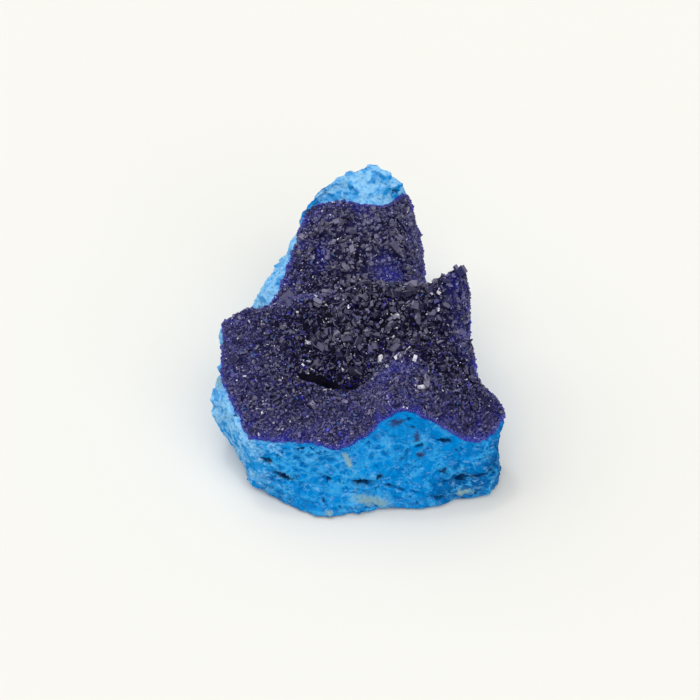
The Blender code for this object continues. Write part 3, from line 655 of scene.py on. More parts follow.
growth = {
    # grades: half size, spacing, how far the feet are sunk as a share of the half size, the highest tone, and
    # how many grow side by side, parallel
    "fine": (0.24, 0.36, 0.3, 1.0, 1),
    "middling": (0.38, 0.95, 0.2, 0.97, 2),
    "coarse": (0.66, 2.00, 0.15, 0.94, 3),
    "rim": (0.24, 0.0, 0.1, 0.98, 1),
    # pale grains: painted glints, near-white crystals standing in for glints
    "pale": (0.15, 0.76, -0.3, 1.0, 1),
    "besideReach": np.array([1.1, 0.8, 0.5]),
    "gridX": (-23, 26), "gridY": (-1, 58), "gridJitter": 0.6,
    "feetInside": 0.06, "keptInside": 0.05,  # of the edge, for their first places and after moving aside
    "sizeSpread": (0.7, 1.35), "sideSpread": (0.65, 1.25),  # of whole crystals, and of each of their sides
    "rimCount": 2400, "rimCrowding": 1.2, "rimJitter": 0.1,
    "rimUp": (0.1, 1.2),  # how much they face up, against 1 outwards
    "rimReach": (-0.06, 0.32),  # from just outside the edge to this far inside it
    "rimDrop": 0.34,  # how far down the crust's side they grow, where it isn't deep
    "rimDepth": 0.35,  # depth of that side for each further row of them
    "slotBare": 0.3,  # share of the slot's depth past which nothing grows
    # where crystals are coarse: weight, then x, y, half length, half width, turn
    "coarsePlaces": [(1.0, (8.0, 22.0, 10.0, 6.0, -6.0)), (0.8, (-4.0, 20.5, 9.0, 5.0, 6.0)),
                     (0.8, (3.5, 27.5, 10.0, 1.3, 7.0)), (0.9, (16.5, 27.0, 3.6, 4.0, 0.0)),
                     (1.0, (1.0, 45.5, 8.0, 8.5, 0.0)), (0.35, (15.0, 13.0, 5.0, 4.0, 0.0))],
    # where fine growth looks violet and powdery: weight, then the place
    "litPlaces": [(1.0, (6.4, 10.6, 4.6, 3.2, 30.0)), (0.55, (4.0, 4.0, 18.0, 5.0, 0.0)),
                  (1.0, (6.6, 41.0, 2.4, 3.2, 20.0)), (0.25, (0.0, 46.0, 14.0, 12.0, 0.0)),
                  (0.9, (-10.5, 26.6, 8.0, 1.7, 12.0)), (0.5, (-17.0, 16.0, 6.0, 10.0, 0.0)),
                  (0.5, (12.5, 47.0, 1.5, 12.0, 0.0))],
    "litEdge": 0.8, "litEdgeWidth": 2.6,  # and towards the crust's edge
    "edgeGlow": (1.0, 0.14),  # strength and width of the bright blue line along the very edge
    "glowRise": (0.3, 0.6),  # height above the bed from which the line fades, and over which
    # patchy blue inside it: strength, width, size of the patches, and the noise from and to which they show
    "glowPatches": (0.75, 1.7, 2.4, -0.1, 0.5),
    # deep blue places: weight, then the place
    "glowPlaces": [(0.55, (7.0, 40.5, 2.6, 3.4, 20.0)), (0.3, (-5.0, 44.0, 1.2, 2.5, 0.0)),
                   (0.4, (-10.5, 27.0, 7.0, 1.2, 12.0)), (0.35, (7.0, 10.5, 3.2, 2.0, 30.0)),
                   (0.3, (17.5, 26.5, 1.6, 3.5, 0.0))],
    # where crystals are painted greyer and lighter, as highlight: the share of them, then the place; and the
    # tones that they take
    "paintedHighlightPlaces": [(0.9, (1.0, 47.5, 10.0, 10.0, 0.0)), (0.2, (6.0, 9.5, 7.0, 4.0, 20.0)),
                    (0.14, (-2.0, 3.0, 16.0, 3.5, 0.0)), (0.45, (-5.0, 34.5, 9.0, 3.5, 0.0))],
    "paintedHighlightTones": (0.85, 0.89),
    "smallPlace": (0.55, (24.2, 8.0, 3.2, 5.0, 0.0)),  # the share by which they are smaller, and where
    "tilt": (52.0, 0.7),  # the most, and the power of a random share of it
    "drift": 5.0, "driftSpread": 0.9,  # size of the patches in which crystals lean alike, and how loosely
    "edgeSize": (0.8, 1.2),  # share of their size that crystals have at the edge, and its width
    # single crystals: x, y, half size
    "coarseSingles": [(-1.3, 22.3, 0.95), (-5.8, 19.1, 1.25), (4.0, 22.2, 0.85), (13.8, 21.7, 0.95),
                      (6.6, 20.0, 0.75), (10.9, 19.2, 0.9), (9.7, 26.2, 0.9), (-2.3, 20.3, 0.7),
                      (12.5, 21.1, 0.7), (4.7, 24.9, 0.7), (6.8, 17.3, 0.6), (13.6, 29.9, 0.8),
                      (17.0, 28.0, 0.7)],
    # pale singles: painted glints, where the largest glints are
    "paleSingles": [(5.1, 15.3, 0.58), (7.8, 13.4, 0.62), (10.6, 13.9, 0.56), (11.4, 7.0, 0.5),
                    (13.8, 21.6, 0.5), (4.2, 22.3, 0.45), (7.1, 18.5, 0.34), (6.2, 12.3, 0.36),
                    (13.6, 24.4, 0.36), (14.8, 22.4, 0.36), (7.9, 22.2, 0.28), (-4.1, 10.8, 0.36),
                    (-8.7, 14.1, 0.2), (-6.9, 15.1, 0.22), (-1.2, 15.7, 0.34), (3.8, 10.7, 0.26),
                    (-0.2, 14.7, 0.26), (-14.6, 1.7, 0.34), (1.0, 18.5, 0.42), (-8.8, 23.5, 0.3),
                    (-16.8, 22.0, 0.24), (-17.3, 12.0, 0.28), (-11.5, 11.7, 0.32), (-7.8, 15.7, 0.3),
                    (-6.8, 16.3, 0.26), (-14.2, 5.7, 0.28), (-9.7, 3.2, 0.24), (14.8, 24.2, 0.4)],
    "paintedGlintScatter": 0.07,  # chance of a tiny pale grain, a painted glint, one place in each 0.76 mm
    "paintedGlintHollow": (2.0, (-3.0, 17.0, 8.0, 4.0, 0.0)),  # and more of them here
}


def paintedGlintChance(plan):
    # the chance that a pale grain, a painted glint, grows
    weight, place = growth["paintedGlintHollow"]
    return growth["paintedGlintScatter"] * (0.6 + 0.7 * coarseness(plan) + weight * dent(*plan.T, *place))


def coarseness(plan):
    # 1 where coarse crystals grow, 0 where none do
    return np.clip(dentSum(plan, growth["coarsePlaces"]), 0, 1)


def litFineness(plan):
    # how violet and powdery the fine growth looks
    nearEdge = np.exp(-wayInside(plan) / growth["litEdgeWidth"])
    return np.clip(dentSum(plan, growth["litPlaces"]) + growth["litEdge"] * nearEdge, 0, 1)


def edgeGlow(points):
    # a line along the edge, weaker high above the bed, patches behind it and single places; the strongest
    plan = points[:, :2]
    toEdge = wayInside(plan)
    strength, width = growth["edgeGlow"]
    start, fade = growth["glowRise"]
    above = np.maximum(points[:, 2] - bedSurface(plan) - start, 0)
    line = strength * np.exp(-toEdge / width - above / fade)
    strength, width, size, low, high = growth["glowPatches"]
    patchy = smoothStep(low, high, slopeNoise(atFloor(plan), size, 41))
    patches = strength * patchy * np.exp(-toEdge / width)
    places = [weight * dent(*plan.T, *place) for weight, place in growth["glowPlaces"]]
    return np.max([line, patches, *places], axis=0)


# Unit crystals: rings of an outline at several heights, each ring shrunk and shifted, with flat ends.
crystalKinds = {
    "tablet": {
        "outline": [(1, -0.12), (0.62, 0.62), (-0.5, 0.70), (-1, 0.15), (-0.66, -0.58), (0.55, -0.68)],
        "rings": [(-0.6, 0.9, 0.0), (0.34, 1.0, 0.0), (0.46, 0.87, 0.0)],
    },
    "block": {
        "outline": [(1.1, -0.62), (0.8, 0.6), (-1.1, 0.64), (-0.8, -0.5)],
        "rings": [(-0.6, 0.95, 0.0), (0.7, 1.0, 0.05), (0.82, 0.87, 0.10)],
    },
    "roof": {
        "outline": [(1, -0.6), (0.8, 0.6), (-1, 0.7), (-0.9, -0.5)],
        "rings": [(-0.5, 0.9, 0.0), (0.35, 1.0, 0.05), (0.95, 0.50, 0.38)],
    },
    "wedge": {
        "outline": [(0.9, -0.5), (1, 0.45), (-0.8, 0.6), (-1, -0.45)],
        "rings": [(-0.5, 0.85, 0.0), (0.75, 0.95, 0.2)],
    },
    "blade": {
        "outline": [(1, 0), (0.5, 0.3), (-0.6, 0.3), (-1, 0), (-0.5, -0.3), (0.6, -0.3)],
        "rings": [(-0.5, 0.8, 0.0), (0.8, 1.0, 0.1), (1.05, 0.7, 0.2)],
    },
}


def unitCrystal(kind):
    # points and triangles of one unit crystal, rings joined by pairs of triangles and a fan on each end, and
    # the number of the facet that each triangle belongs to
    outline = np.array(kind["outline"], float)
    count = len(outline)
    points = [np.column_stack([outline * scale + (shift, 0), np.full(count, height)])
              for height, scale, shift in kind["rings"]]
    ring = np.arange(count)
    following = (ring + 1) % count
    triangles, facets = [], []
    for level in range(len(points) - 1):
        low, high = level * count, (level + 1) * count
        triangles.append(np.column_stack([low + ring, low + following, high + following]))
        triangles.append(np.column_stack([low + ring, high + following, high + ring]))
        facets += [low + ring, low + ring]
    fan = np.arange(1, count - 1)
    topRing = (len(points) - 1) * count
    triangles.append(np.column_stack([0 * fan + topRing, topRing + fan, topRing + fan + 1]))
    triangles.append(np.column_stack([0 * fan, fan + 1, fan]))
    facets += [0 * fan + topRing, 0 * fan + topRing + 1]
    return np.concatenate(points), np.concatenate(triangles), np.concatenate(facets)


def turnsAbout(axis, angles):
    # rotation matrices about x or z, one an angle
    c, s = np.cos(angles), np.sin(angles)
    one, zero = np.ones_like(c), np.zeros_like(c)
    rows = {
        "x": [one, zero, zero, zero, c, -s, zero, s, c],
        "z": [c, -s, zero, s, c, zero, zero, zero, one],
    }[axis]
    return np.stack(rows, axis=1).reshape(-1, 3, 3)


def standOn(normals):
    # frames whose third column is the normal
    helper = np.where(np.abs(normals[:, :1]) < 0.9, [[1.0, 0, 0]], [[0, 1.0, 0]])
    side = normalised(np.cross(helper, normals))
    return np.stack([side, np.cross(normals, side), normals], axis=2)


def surfaceNormals(plan):
    riseX, riseY = riseOf(crystalSurface, plan)
    return normalised(np.column_stack([-riseX, -riseY, np.ones(len(plan))]))


def druseSites(random, spacing, wanted):
    # a jittered grid over the plan, kept with a chance that grows with the slope, where the grade grows
    step = spacing / math.sqrt(form["steepest"])
    x, y = np.meshgrid(np.arange(*growth["gridX"], step), np.arange(*growth["gridY"], step))
    jitter = growth["gridJitter"]
    plan = np.column_stack([x.ravel(), y.ravel()]) + random.uniform(-jitter, jitter, (x.size, 2)) * step
    outOfSlot = slotCut(plan) < growth["slotBare"] * form["slotDepth"]
    plan = plan[(insideEdge(plan)[1] > growth["feetInside"]) & outOfSlot]
    normals = surfaceNormals(plan)
    chance = np.minimum(1 / (normals[:, 2] * form["steepest"]), 1) * wanted(plan)
    keep = random.uniform(0, 1, len(plan)) < chance
    return np.column_stack([plan, crystalSurface(plan)])[keep], normals[keep]


def rimSites(random):
    # along the crust's edge, down its side, facing out and up, with more rows of them where that side is deep
    around = edgeRound(growth["rimCount"], growth["rimCrowding"])
    side = np.maximum(crystalSurface(around) - bedSurface(around) + form["crustEdge"], growth["rimDrop"])
    rows = np.maximum(side / growth["rimDepth"], 1).astype(int)
    around, side = np.repeat(around, rows, axis=0), np.repeat(side, rows)
    out = leanOut(around)
    around = around + growth["rimJitter"] * random.uniform(-1, 1, around.shape)
    plan = around - out * random.uniform(*growth["rimReach"], (len(around), 1))
    height = crystalSurface(plan) - side * random.uniform(0, 1, len(around))
    up = random.uniform(*growth["rimUp"], len(around))
    return np.column_stack([plan, height]), normalised(np.column_stack([out, up]))


def growCrystals(name, grade, kinds, wanted, seed):
    # every crystal is its kind's unit crystal, scaled, spun, tilted off the surface's normal and set in
    # place, and those side by side share one tilt
    random = np.random.default_rng(seed)
    halfSize, spacing, sink, highestTone, beside = growth[grade]
    sites, normals = rimSites(random) if grade == "rim" else druseSites(random, spacing, wanted)
    halfSize = halfSize * random.uniform(*growth["sizeSpread"], len(sites))
    if grade in ("coarse", "pale"):
        single = np.array(growth[grade + "Singles"])
        sites = np.concatenate([np.column_stack([single[:, :2], crystalSurface(single[:, :2])]), sites])
        normals = np.concatenate([surfaceNormals(single[:, :2]), normals])
        halfSize = np.append(single[:, 2], halfSize)
    if grade in ("fine", "middling", "coarse"):
        least, width = growth["edgeSize"]
        halfSize *= least + (1 - least) * smoothStep(0, width, insideEdge(sites[:, :2])[1])
        share, place = growth["smallPlace"]
        halfSize *= 1 - share * dent(*sites[:, :2].T, *place)
    most, power = growth["tilt"]
    tilt = np.radians(most) * random.uniform(0, 1, len(sites)) ** power
    leaning = 4 * math.pi * slopeNoise(sites * (1, 1, 0), growth["drift"], 40)
    leaning = leaning + random.normal(0, growth["driftSpread"], len(sites))
    frames = standOn(normals) @ turnsAbout("z", leaning) @ turnsAbout("x", tilt)
    frames = frames @ turnsAbout("z", random.uniform(0, 2 * math.pi, len(sites)))
    sites = sites - normals * halfSize[:, None] * sink
    sites, frames, halfSize = (np.repeat(values, beside, axis=0) for values in (sites, frames, halfSize))
    move = random.uniform(-1, 1, sites.shape) * growth["besideReach"] * halfSize[:, None]
    move[::beside] = 0
    sites = sites + np.einsum("nij,nj->ni", frames, move)
    kept = (insideEdge(sites[:, :2])[1] > growth["keptInside"]) | (grade == "rim")
    sites, frames, halfSize = sites[kept], frames[kept], halfSize[kept]
    kindOf = random.integers(0, len(kinds), len(sites))
    allPoints, allTriangles, allTones, allFacets, start = [], [], [], [], 0
    for index, kind in enumerate(kinds):
        unit, triangles, facets = unitCrystal(crystalKinds[kind])
        chosen = kindOf == index
        count = int(chosen.sum())
        size = halfSize[chosen, None] * random.uniform(*growth["sideSpread"], (count, 3))
        points = np.einsum("nij,nkj->nki", frames[chosen], unit[None] * size[:, None]) + sites[chosen, None]
        offsets = start + np.arange(count)[:, None, None] * len(unit)
        allPoints.append(points.reshape(-1, 3))
        allTriangles.append((triangles[None] + offsets).reshape(-1, 3))
        allFacets.append(random.uniform(0, 1, (count, facets.max() + 1))[:, facets].ravel())
        tone = random.uniform(0, highestTone, count)
        highlighted = random.uniform(0, 1, count) < dentSum(sites[chosen, :2], growth["paintedHighlightPlaces"])
        tone = np.where(highlighted, random.uniform(*growth["paintedHighlightTones"], count), tone)
        marks = np.column_stack([tone, litFineness(sites[chosen, :2]), edgeGlow(sites[chosen])])
        allTones.append(np.repeat(marks, len(unit), axis=0))
        start += count * len(unit)
    points = np.concatenate(allPoints)
    piece = putMesh(name, points, [np.concatenate(allTriangles)], smooth=False)
    putColours(piece, "crystalTone", np.concatenate(allTones).T)
    facetTone = piece.data.attributes.new("facetTone", "FLOAT", "FACE")
    facetTone.data.foreach_set("value", np.concatenate(allFacets).astype(np.float32))
    print(name, len(sites), "crystals,", len(piece.data.polygons), "triangles")
    return piece


crustSkin = makeSkin()
print("crust skin made")

finePieces = [
    growCrystals("fineFrontCrystals", "fine", ["wedge", "block"],
                 lambda plan: (1 - 0.8 * coarseness(plan)) * (plan[:, 1] < 17), 1),
    growCrystals("fineBackCrystals", "fine", ["wedge", "block"],
                 lambda plan: (1 - 0.8 * coarseness(plan)) * (plan[:, 1] >= 17), 2),
    growCrystals("rimCrystals", "rim", ["wedge", "block"], None, 6),
]
blockPieces = [
    growCrystals("middlingCrystals", "middling", ["tablet", "block", "roof", "wedge"],
                 lambda plan: 0.25 + 0.75 * coarseness(plan), 3),
    growCrystals("coarseCrystals", "coarse", ["tablet", "block", "roof", "blade"],
                 lambda plan: 0.04 + 0.9 * coarseness(plan) ** 1.3, 4),
]
paintedGlints = growCrystals("paintedGlints", "pale", ["roof", "wedge"], paintedGlintChance, 5)


def fillInputs(tree, node, inputs):
    # each input, by its name or number, is linked to a socket or given a value
    for name, value in inputs.items():
        if isinstance(value, bpy.types.NodeSocket):
            tree.links.new(value, node.inputs[name])
        else:
            node.inputs[name].default_value = value


def addNode(tree, kind, inputs, **settings):
    node = tree.nodes.new(kind)
    for name, value in settings.items():
        setattr(node, name, value)
    fillInputs(tree, node, inputs)
    return node


def worked(tree, operation, *values, clamped=False):
    # the outcome of a sum on sockets or numbers
    inputs = dict(enumerate(values))
    return addNode(tree, "ShaderNodeMath", inputs, operation=operation, use_clamp=clamped).outputs[0]


def ranged(tree, value, limits, kind="LINEAR"):
    inputs = {"Value": value, **limits}
    return addNode(tree, "ShaderNodeMapRange", inputs, interpolation_type=kind).outputs["Result"]


def newGroup(name, inputs, outputs):
    # an empty node group with a place and named numbers to put in, and its two end nodes
    group = bpy.data.node_groups.new(name, "ShaderNodeTree")
    group.interface.new_socket("Place", in_out="INPUT", socket_type="NodeSocketVector")
    for socketName, value in inputs.items():
        socket = group.interface.new_socket(socketName, in_out="INPUT", socket_type="NodeSocketFloat")
        socket.default_value = value
    for socketName in outputs:
        group.interface.new_socket(socketName, in_out="OUTPUT", socket_type="NodeSocketFloat")
    return group, group.nodes.new("NodeGroupInput").outputs, group.nodes.new("NodeGroupOutput")


def patchMaskGroup():
    # noise of a given grain, turned to a mask between two thresholds
    inputs = {"Grain per mm": 1.0, "Detail": 3.0, "From": 0.5, "To": 0.6}
    group, given, end = newGroup("patchMask", inputs, ["Mask", "Height"])
    noise = addNode(group, "ShaderNodeTexNoise",
                    {"Vector": given["Place"], "Scale": given["Grain per mm"], "Detail": given["Detail"],
                     "Roughness": 0.6, "Distortion": 0.4})
    limits = {"From Min": given["From"], "From Max": given["To"]}
    mask = ranged(group, noise.outputs["Fac"], limits, "SMOOTHSTEP")
    fillInputs(group, end, {"Mask": mask, "Height": noise.outputs["Fac"]})
    return group


def cellWebGroup():
    # wandering cells: a mask of their middles, and one of the thin walls between them
    inputs = {"Cells per mm": 0.7, "Warp": 0.5, "Wall": 0.12}
    group, given, end = newGroup("cellWeb", inputs, ["Middle", "Wall"])
    noise = addNode(group, "ShaderNodeTexNoise", {"Vector": given["Place"], "Scale": 1.3, "Detail": 3.0})
    centred = addNode(group, "ShaderNodeVectorMath", {0: noise.outputs["Color"], 1: (0.5, 0.5, 0.5)},
                      operation="SUBTRACT")
    spread = addNode(group, "ShaderNodeCombineXYZ", {axis: given["Warp"] for axis in range(3)})
    moved = {0: centred.outputs[0], 1: spread.outputs[0], 2: given["Place"]}
    warped = addNode(group, "ShaderNodeVectorMath", moved, operation="MULTIPLY_ADD")
    cells = {"Vector": warped.outputs[0], "Scale": given["Cells per mm"]}
    middles, walls = (addNode(group, "ShaderNodeTexVoronoi", cells, feature=feature).outputs["Distance"]
                      for feature in ("F1", "DISTANCE_TO_EDGE"))
    middle = ranged(group, middles, {"From Min": 0.48, "From Max": 0.12}, "SMOOTHSTEP")
    wall = ranged(group, walls, {"From Min": given["Wall"], "From Max": 0.0}, "SMOOTHSTEP")
    fillInputs(group, end, {"Middle": middle, "Wall": wall})
    return group


patchMask = patchMaskGroup()
cellWeb = cellWebGroup()


def placeInMillimetres(tree, turn=(0, 0, 0), stretch=(1, 1, 1)):
    coords = addNode(tree, "ShaderNodeTexCoord", {})
    inputs = {"Vector": coords.outputs["Object"], "Rotation": turn, "Scale": [1000 * s for s in stretch]}
    return addNode(tree, "ShaderNodeMapping", inputs).outputs["Vector"]


def patches(tree, place, grain, detail, low, high):
    inputs = {"Place": place, "Grain per mm": grain, "Detail": detail, "From": low, "To": high}
    return addNode(tree, "ShaderNodeGroup", inputs, node_tree=patchMask).outputs


def cellMasks(tree, place, perMillimetre, warp, wall):
    inputs = {"Place": place, "Cells per mm": perMillimetre, "Warp": warp, "Wall": wall}
    return addNode(tree, "ShaderNodeGroup", inputs, node_tree=cellWeb).outputs


def scaled(tree, value, factor):
    return worked(tree, "MULTIPLY", value, factor, clamped=True)


def mixColours(tree, amount, under, over):
    # over laid on under by amount; either colour may be a socket or numbers
    under, over = ((*colour, 1) if isinstance(colour, tuple) else colour for colour in (under, over))
    return addNode(tree, "ShaderNodeMix", {0: amount, 6: under, 7: over}, data_type="RGBA").outputs[2]


def splitAttribute(tree, name):
    # the three numbers that a colour attribute carries
    attribute = addNode(tree, "ShaderNodeAttribute", {}, attribute_name=name)
    channels = addNode(tree, "ShaderNodeSeparateColor", {"Color": attribute.outputs["Color"]})
    return [channels.outputs[k] for k in range(3)]


def raggedMask(tree, spot, ragged, low, high, most):
    # a smooth spot cut off between two levels of spot plus half the noise
    total = worked(tree, "MULTIPLY_ADD", ragged, 0.5, spot)
    return ranged(tree, total, {"From Min": low, "From Max": high, "To Max": most}, "SMOOTHSTEP")


def bumpNormal(tree, height, strength, distance):
    inputs = {"Height": height, "Strength": strength, "Distance": distance}
    return addNode(tree, "ShaderNodeBump", inputs).outputs["Normal"]


def newMaterial(name):
    material = bpy.data.materials.new(name)
    material.use_nodes = True
    tree = material.node_tree
    return material, tree, tree.nodes["Principled BSDF"]


rockPaint = {
    "azure": (0.0, 0.25, 0.71),
    "deep": (0.0, 0.105, 0.40),
    "light": (0.0, 0.33, 0.84),
    "powder": (0.065, 0.46, 0.88),
    # pale blue laid as painted highlight on the lit pale faces, and as powder in the strokes
    "bloom": (0.32, 0.67, 1.0),
    "navy": (0.002, 0.060, 0.25),
    "speck": (0.0, 0.035, 0.19),
    "pit": (0.001, 0.012, 0.070),
    "violet": (0.012, 0.040, 0.50),
    "beige": (0.30, 0.47, 0.47),
    "brown": (0.040, 0.038, 0.13),
    "dust": (0.10, 0.13, 0.26),
}


# Layers laid on the rock's azure one over another: colour, strength, and the masks that are multiplied.
rockLayers = [
    ("deep", 0.35, ["broad"]),
    ("light", 0.6, ["mottle"]),
    # painted shade: navy laid on the front's lower right
    ("navy", 1, ["paintedShade"]),
    # painted shade: deep blue laid in the cell middles, which the bump below sinks as dimples
    ("deep", 0.8, ["cell middles", "fine dark", "rough"]),
    ("deep", 0.7, ["cell middles", "spongy"]),
    ("powder", 0.75, ["cell walls", "spongy"]),
    ("powder", 0.7, ["cell walls", "powder patches", "rough"]),
    ("powder", 0.5, ["fine cell walls", "powder patches", "rough"]),
    # on the pale mask, partly painted highlight: lighter blues laid where the light falls, kept azure in the
    # dimples; partly paler rock
    ("light", 0.75, ["pale"]),
    ("bloom", 1, ["pale and mottled"]),
    ("light", 0.6, ["fine cell middles", "pale"]),
    ("azure", 0.9, ["cell middles", "fine dark", "pale"]),
    ("bloom", 0.35, ["strokes", "clusters", "rough"]),
    ("speck", 0.75, ["specks", "clusters", "not pale"]),
    ("dust", 0.3, ["dusty", "low"]),
    ("beige", 1, ["beige"]),
    ("brown", 1, ["brown"]),
    # painted shade: dark blue laid in the pits and grooves
    ("pit", 0.9, ["pit"]),
    ("violet", 0.9, ["edge", "ragged"]),
]


def rockMasks(tree):
    # every mask that the layers are laid on by: noise, cells, and marks that the mesh carries
    place = placeInMillimetres(tree)
    slanted = placeInMillimetres(tree, turn=(0.3, 0.6, 0.2), stretch=(0.5, 0.5, 1.3))
    flattened = placeInMillimetres(tree, stretch=(0.75, 0.75, 1.2))
    masks = {}
    for name, at, *values in (
        ("broad", place, 0.28, 3.0, 0.44, 0.60), ("mottle", place, 1.0, 5.0, 0.45, 0.60),
        ("powder patches", place, 0.42, 5.0, 0.47, 0.60), ("fine dark", place, 1.9, 4.0, 0.46, 0.58),
        ("clusters", place, 0.5, 2.0, 0.42, 0.62), ("specks", place, 1.7, 3.0, 0.61, 0.68),
        ("ragged", place, 1.6, 4.0, 0.30, 0.70), ("soft mottle", place, 0.5, 5.0, 0.40, 0.57),
        ("dusty", place, 1.7, 3.0, 0.50, 0.62), ("strokes", slanted, 1.9, 2.0, 0.55, 0.62),
    ):
        masks[name] = patches(tree, at, *values)["Mask"]
    for name, *values in (("cell", 0.65, 1.1, 0.20), ("fine cell", 1.6, 0.7, 0.20)):
        cells = cellMasks(tree, flattened, *values)
        masks[name + " middles"], masks[name + " walls"] = cells["Middle"], cells["Wall"]
    masks["pit"], masks["edge"], masks["low"] = splitAttribute(tree, "rockMarks")
    beige, brown, masks["pale"] = splitAttribute(tree, "rockStainsAndHighlight")
    masks["spongy"], smooth, paintedShade = splitAttribute(tree, "rockZones")
    masks["rough"] = worked(tree, "SUBTRACT", 1.0, smooth, clamped=True)
    masks["not pale"] = worked(tree, "SUBTRACT", 1.0, masks["pale"], clamped=True)
    for name, spot, noise, *limits in (
        ("paintedShade", paintedShade, "ragged", 0.35, 1.1, 0.72), ("beige", beige, "ragged", 0.60, 1.25, 0.85),
        ("brown", brown, "ragged", 0.50, 1.20, 0.85),
        ("pale and mottled", masks["pale"], "soft mottle", 0.55, 1.35, 0.95),
    ):
        masks[name] = raggedMask(tree, spot, masks[noise], *limits)
    return masks, place


def rockMaterial():
    material, tree, shader = newMaterial("earthyMatrix")
    masks, place = rockMasks(tree)
    colour = rockPaint["azure"]
    for name, strength, (first, *others) in rockLayers:
        amount = masks[first]
        for factor in [masks[other] for other in others] + [strength] * (strength != 1):
            amount = scaled(tree, amount, factor)
        colour = mixColours(tree, amount, colour, rockPaint[name])
    height = patches(tree, place, 4.0, 4.0, 0.3, 0.7)["Height"]
    for name, depth in (("cell middles", -0.5), ("fine cell middles", -0.35)):
        height = worked(tree, "MULTIPLY_ADD", masks[name], depth, height)
    fillInputs(tree, shader, {"Base Color": colour, "Roughness": 0.95, "Specular IOR Level": 0.03,
                              "Normal": bumpNormal(tree, height, 0.9, 0.00026)})
    return material


azuritePaint = {
    "violet": (0.058, 0.055, 0.215),
    "edge": (0.010, 0.018, 0.42),
    "grain": (0.72, 0.70, 0.76),
    # painted shade and painted reflection on single facets
    "depth": (0.004, 0.003, 0.024),
    "sheen": (0.17, 0.16, 0.23),
}

# Finishes: colours by each crystal's own tone, with light grey tones that are painted highlight and bright
# blue and cyan ones that are painted light shining through, how much violet is laid on, how much painted
# shade and painted reflection single facets have, roughness from and to, the colour of its gloss, and how
# strong that is.
azuriteFinishes = {
    # the skin between and under the crystals: near black and barely glossy, painted shade in the gaps and the
    # bare slot
    "crustGround": {
        "shades": [(0.0, (0.002, 0.0015, 0.007)), (0.5, (0.004, 0.003, 0.02))],
        "violet": 0.7, "depth": 0.0, "sheen": 0.0,
        "roughness": (0.5, 0.8), "gloss": (0.8, 0.78, 1.0), "glossLevel": 0.06,
    },
    "azuriteDruse": {
        "shades": [(0.0, (0.008, 0.007, 0.032)), (0.33, (0.010, 0.009, 0.070)), (0.56, (0.015, 0.013, 0.14)),
                   (0.70, (0.045, 0.042, 0.13)), (0.86, (0.12, 0.115, 0.25)), (0.93, (0.018, 0.016, 0.30)),
                   (0.982, (0.010, 0.13, 0.40)), (0.992, (0.018, 0.012, 0.60))],
        "violet": 0.75, "depth": 0.4, "sheen": 0.25,
        "roughness": (0.16, 0.45), "gloss": (0.76, 0.75, 1.0), "glossLevel": 0.62,
    },
    "azuriteBlocks": {
        "shades": [(0.0, (0.005, 0.004, 0.024)), (0.36, (0.008, 0.007, 0.046)), (0.56, (0.024, 0.022, 0.062)),
                   (0.72, (0.050, 0.047, 0.090)), (0.80, (0.010, 0.009, 0.12)), (0.85, (0.125, 0.118, 0.18)),
                   (0.94, (0.016, 0.012, 0.20))],
        "violet": 0.5, "depth": 0.9, "sheen": 0.6,
        "roughness": (0.08, 0.36), "gloss": (0.80, 0.78, 1.0), "glossLevel": 0.66,
    },
}


def azuriteMaterial(name, finish):
    material, tree, shader = newMaterial(name)
    tone, lit, edge = splitAttribute(tree, "crystalTone")
    shades = addNode(tree, "ShaderNodeValToRGB", {"Fac": tone})
    shades.color_ramp.interpolation = "CONSTANT"
    elements = shades.color_ramp.elements
    for index, (at, colour) in enumerate(finish["shades"]):
        element = elements[index] if index < 2 else elements.new(at)
        element.position = at
        element.color = (*colour, 1)
    place = placeInMillimetres(tree)
    powder = patches(tree, place, 0.9, 3.0, 0.30, 0.62)["Mask"]
    violet = scaled(tree, scaled(tree, lit, powder), finish["violet"])
    colour = mixColours(tree, violet, shades.outputs["Color"], azuritePaint["violet"])
    facet = addNode(tree, "ShaderNodeAttribute", {}, attribute_name="facetTone").outputs["Fac"]
    # single facets painted darker and lighter: painted shade and painted reflection
    for start, end, name in ((0.6, 0.0, "depth"), (0.86, 0.90, "sheen")):
        share = ranged(tree, facet, {"From Min": start, "From Max": end, "To Max": finish[name]})
        colour = mixColours(tree, share, colour, azuritePaint[name])
    colour = mixColours(tree, scaled(tree, edge, 0.7), colour, azuritePaint["edge"])
    etch = patches(tree, place, 3.0, 2.0, 0.4, 0.7)
    least, most = finish["roughness"]
    fillInputs(tree, shader, {
        "Base Color": colour, "Roughness": ranged(tree, etch["Mask"], {"To Min": least, "To Max": most}),
        "IOR": 1.62, "Specular IOR Level": finish["glossLevel"], "Specular Tint": (*finish["gloss"], 1.0),
        "Normal": bumpNormal(tree, etch["Height"], 0.15, 0.00005),
    })
    return material


def paintedGlintMaterial():
    material, tree, shader = newMaterial("paintedGlint")
    # painted glints: near-white with clouds of violet
    cloud = patches(tree, placeInMillimetres(tree), 1.3, 1.0, 0.42, 0.75)["Mask"]
    colour = mixColours(tree, scaled(tree, cloud, 0.5), azuritePaint["grain"], azuritePaint["violet"])
    fillInputs(tree, shader, {"Base Color": colour, "Roughness": 0.3})
    return material


matrixSkin.data.materials.append(rockMaterial())
paintedGlints.data.materials.append(paintedGlintMaterial())
ground, druse, blocks = (azuriteMaterial(name, finish) for name, finish in azuriteFinishes.items())
crustSkin.data.materials.append(ground)
for piece in finePieces:
    piece.data.materials.append(druse)
for piece in blockPieces:
    piece.data.materials.append(blocks)
for piece in [crustSkin, *finePieces, *blockPieces, paintedGlints]:
    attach(piece, "root")
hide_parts("azurite_crust")
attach(matrixSkin, "root")
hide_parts("matrix_rock")
print("materials made")

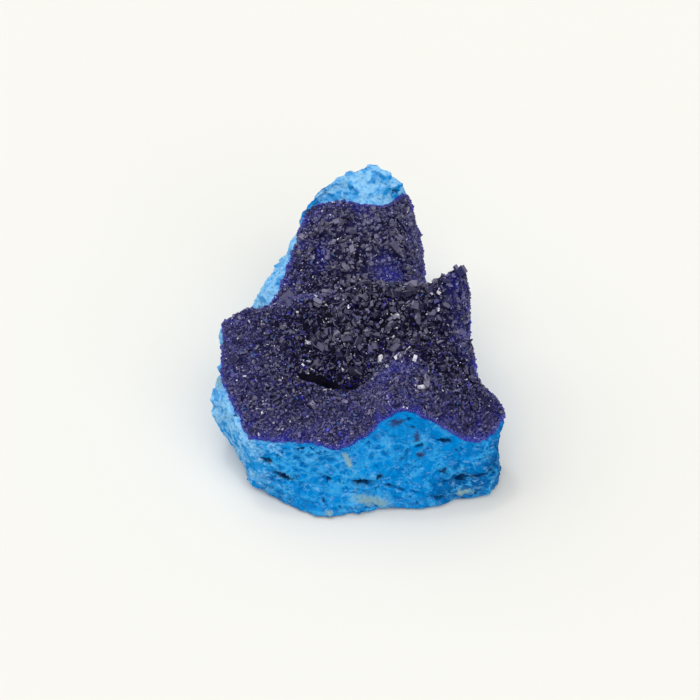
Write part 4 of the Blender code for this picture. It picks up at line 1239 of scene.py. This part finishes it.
studio = {
    "floor": (0.836, 0.829, 0.783),
    "worldStrength": 0.40,
    "lights": {
        # sun name: from direction, strength, width in degrees
        "key": ((-0.55, 0.45, 0.9), 1.3, 75.0),
        "fill": ((0.25, -0.75, 0.75), 1.55, 75.0),
        "spark": ((-0.2, 0.35, 0.9), 0.30, 9.0),
    },
    "target": np.array([0.0, 24.0, 12.0]),
    "elevation": 38.0, "distance": 330.0, "lens": 100.0,
    "floorHalf": 1.5,  # metres
}


def makeStudio():
    mesh = bpy.data.meshes.new("floor")
    half = studio["floorHalf"]
    corners = [(-half, -half, 0), (half, -half, 0), (half, half, 0), (-half, half, 0)]
    mesh.from_pydata(corners, [], [(0, 1, 2, 3)])
    floor = putObject("floor", mesh)
    material, tree, shader = newMaterial("paleFloor")
    paint = (*studio["floor"], 1)
    fillInputs(tree, shader, {"Base Color": paint, "Roughness": 0.9, "Specular IOR Level": 0.0})
    floor.data.materials.append(material)
    world = bpy.data.worlds.new("studioAir")
    world.use_nodes = True
    tree = world.node_tree
    light = {"Color": (1, 1, 1, 1), "Strength": studio["worldStrength"]}
    fillInputs(tree, tree.nodes["Background"], light)
    bpy.context.scene.world = world
    for name, (direction, strength, width) in studio["lights"].items():
        light = bpy.data.lights.new(name, "SUN")
        light.energy = strength
        light.angle = math.radians(width)
        lamp = putObject(name, light)
        lamp.rotation_euler = Vector(direction).to_track_quat("Z", "Y").to_euler()


def makeCamera():
    camera = bpy.data.cameras.new("camera")
    camera.lens = studio["lens"]
    camera.sensor_width = 36.0
    camera.clip_start = 0.01
    eye = putObject("camera", camera)
    elevation = math.radians(studio["elevation"])
    back = Vector((0, -math.cos(elevation), math.sin(elevation)))
    target = Vector((studio["target"] - np.append(planCentre, 0)) * mm)
    eye.location = target + back * studio["distance"] * mm
    eye.rotation_euler = back.to_track_quat("Z", "Y").to_euler()
    bpy.context.scene.camera = eye


makeStudio()
makeCamera()
bpy.context.scene.view_settings.view_transform = "Standard"
print("studio made")
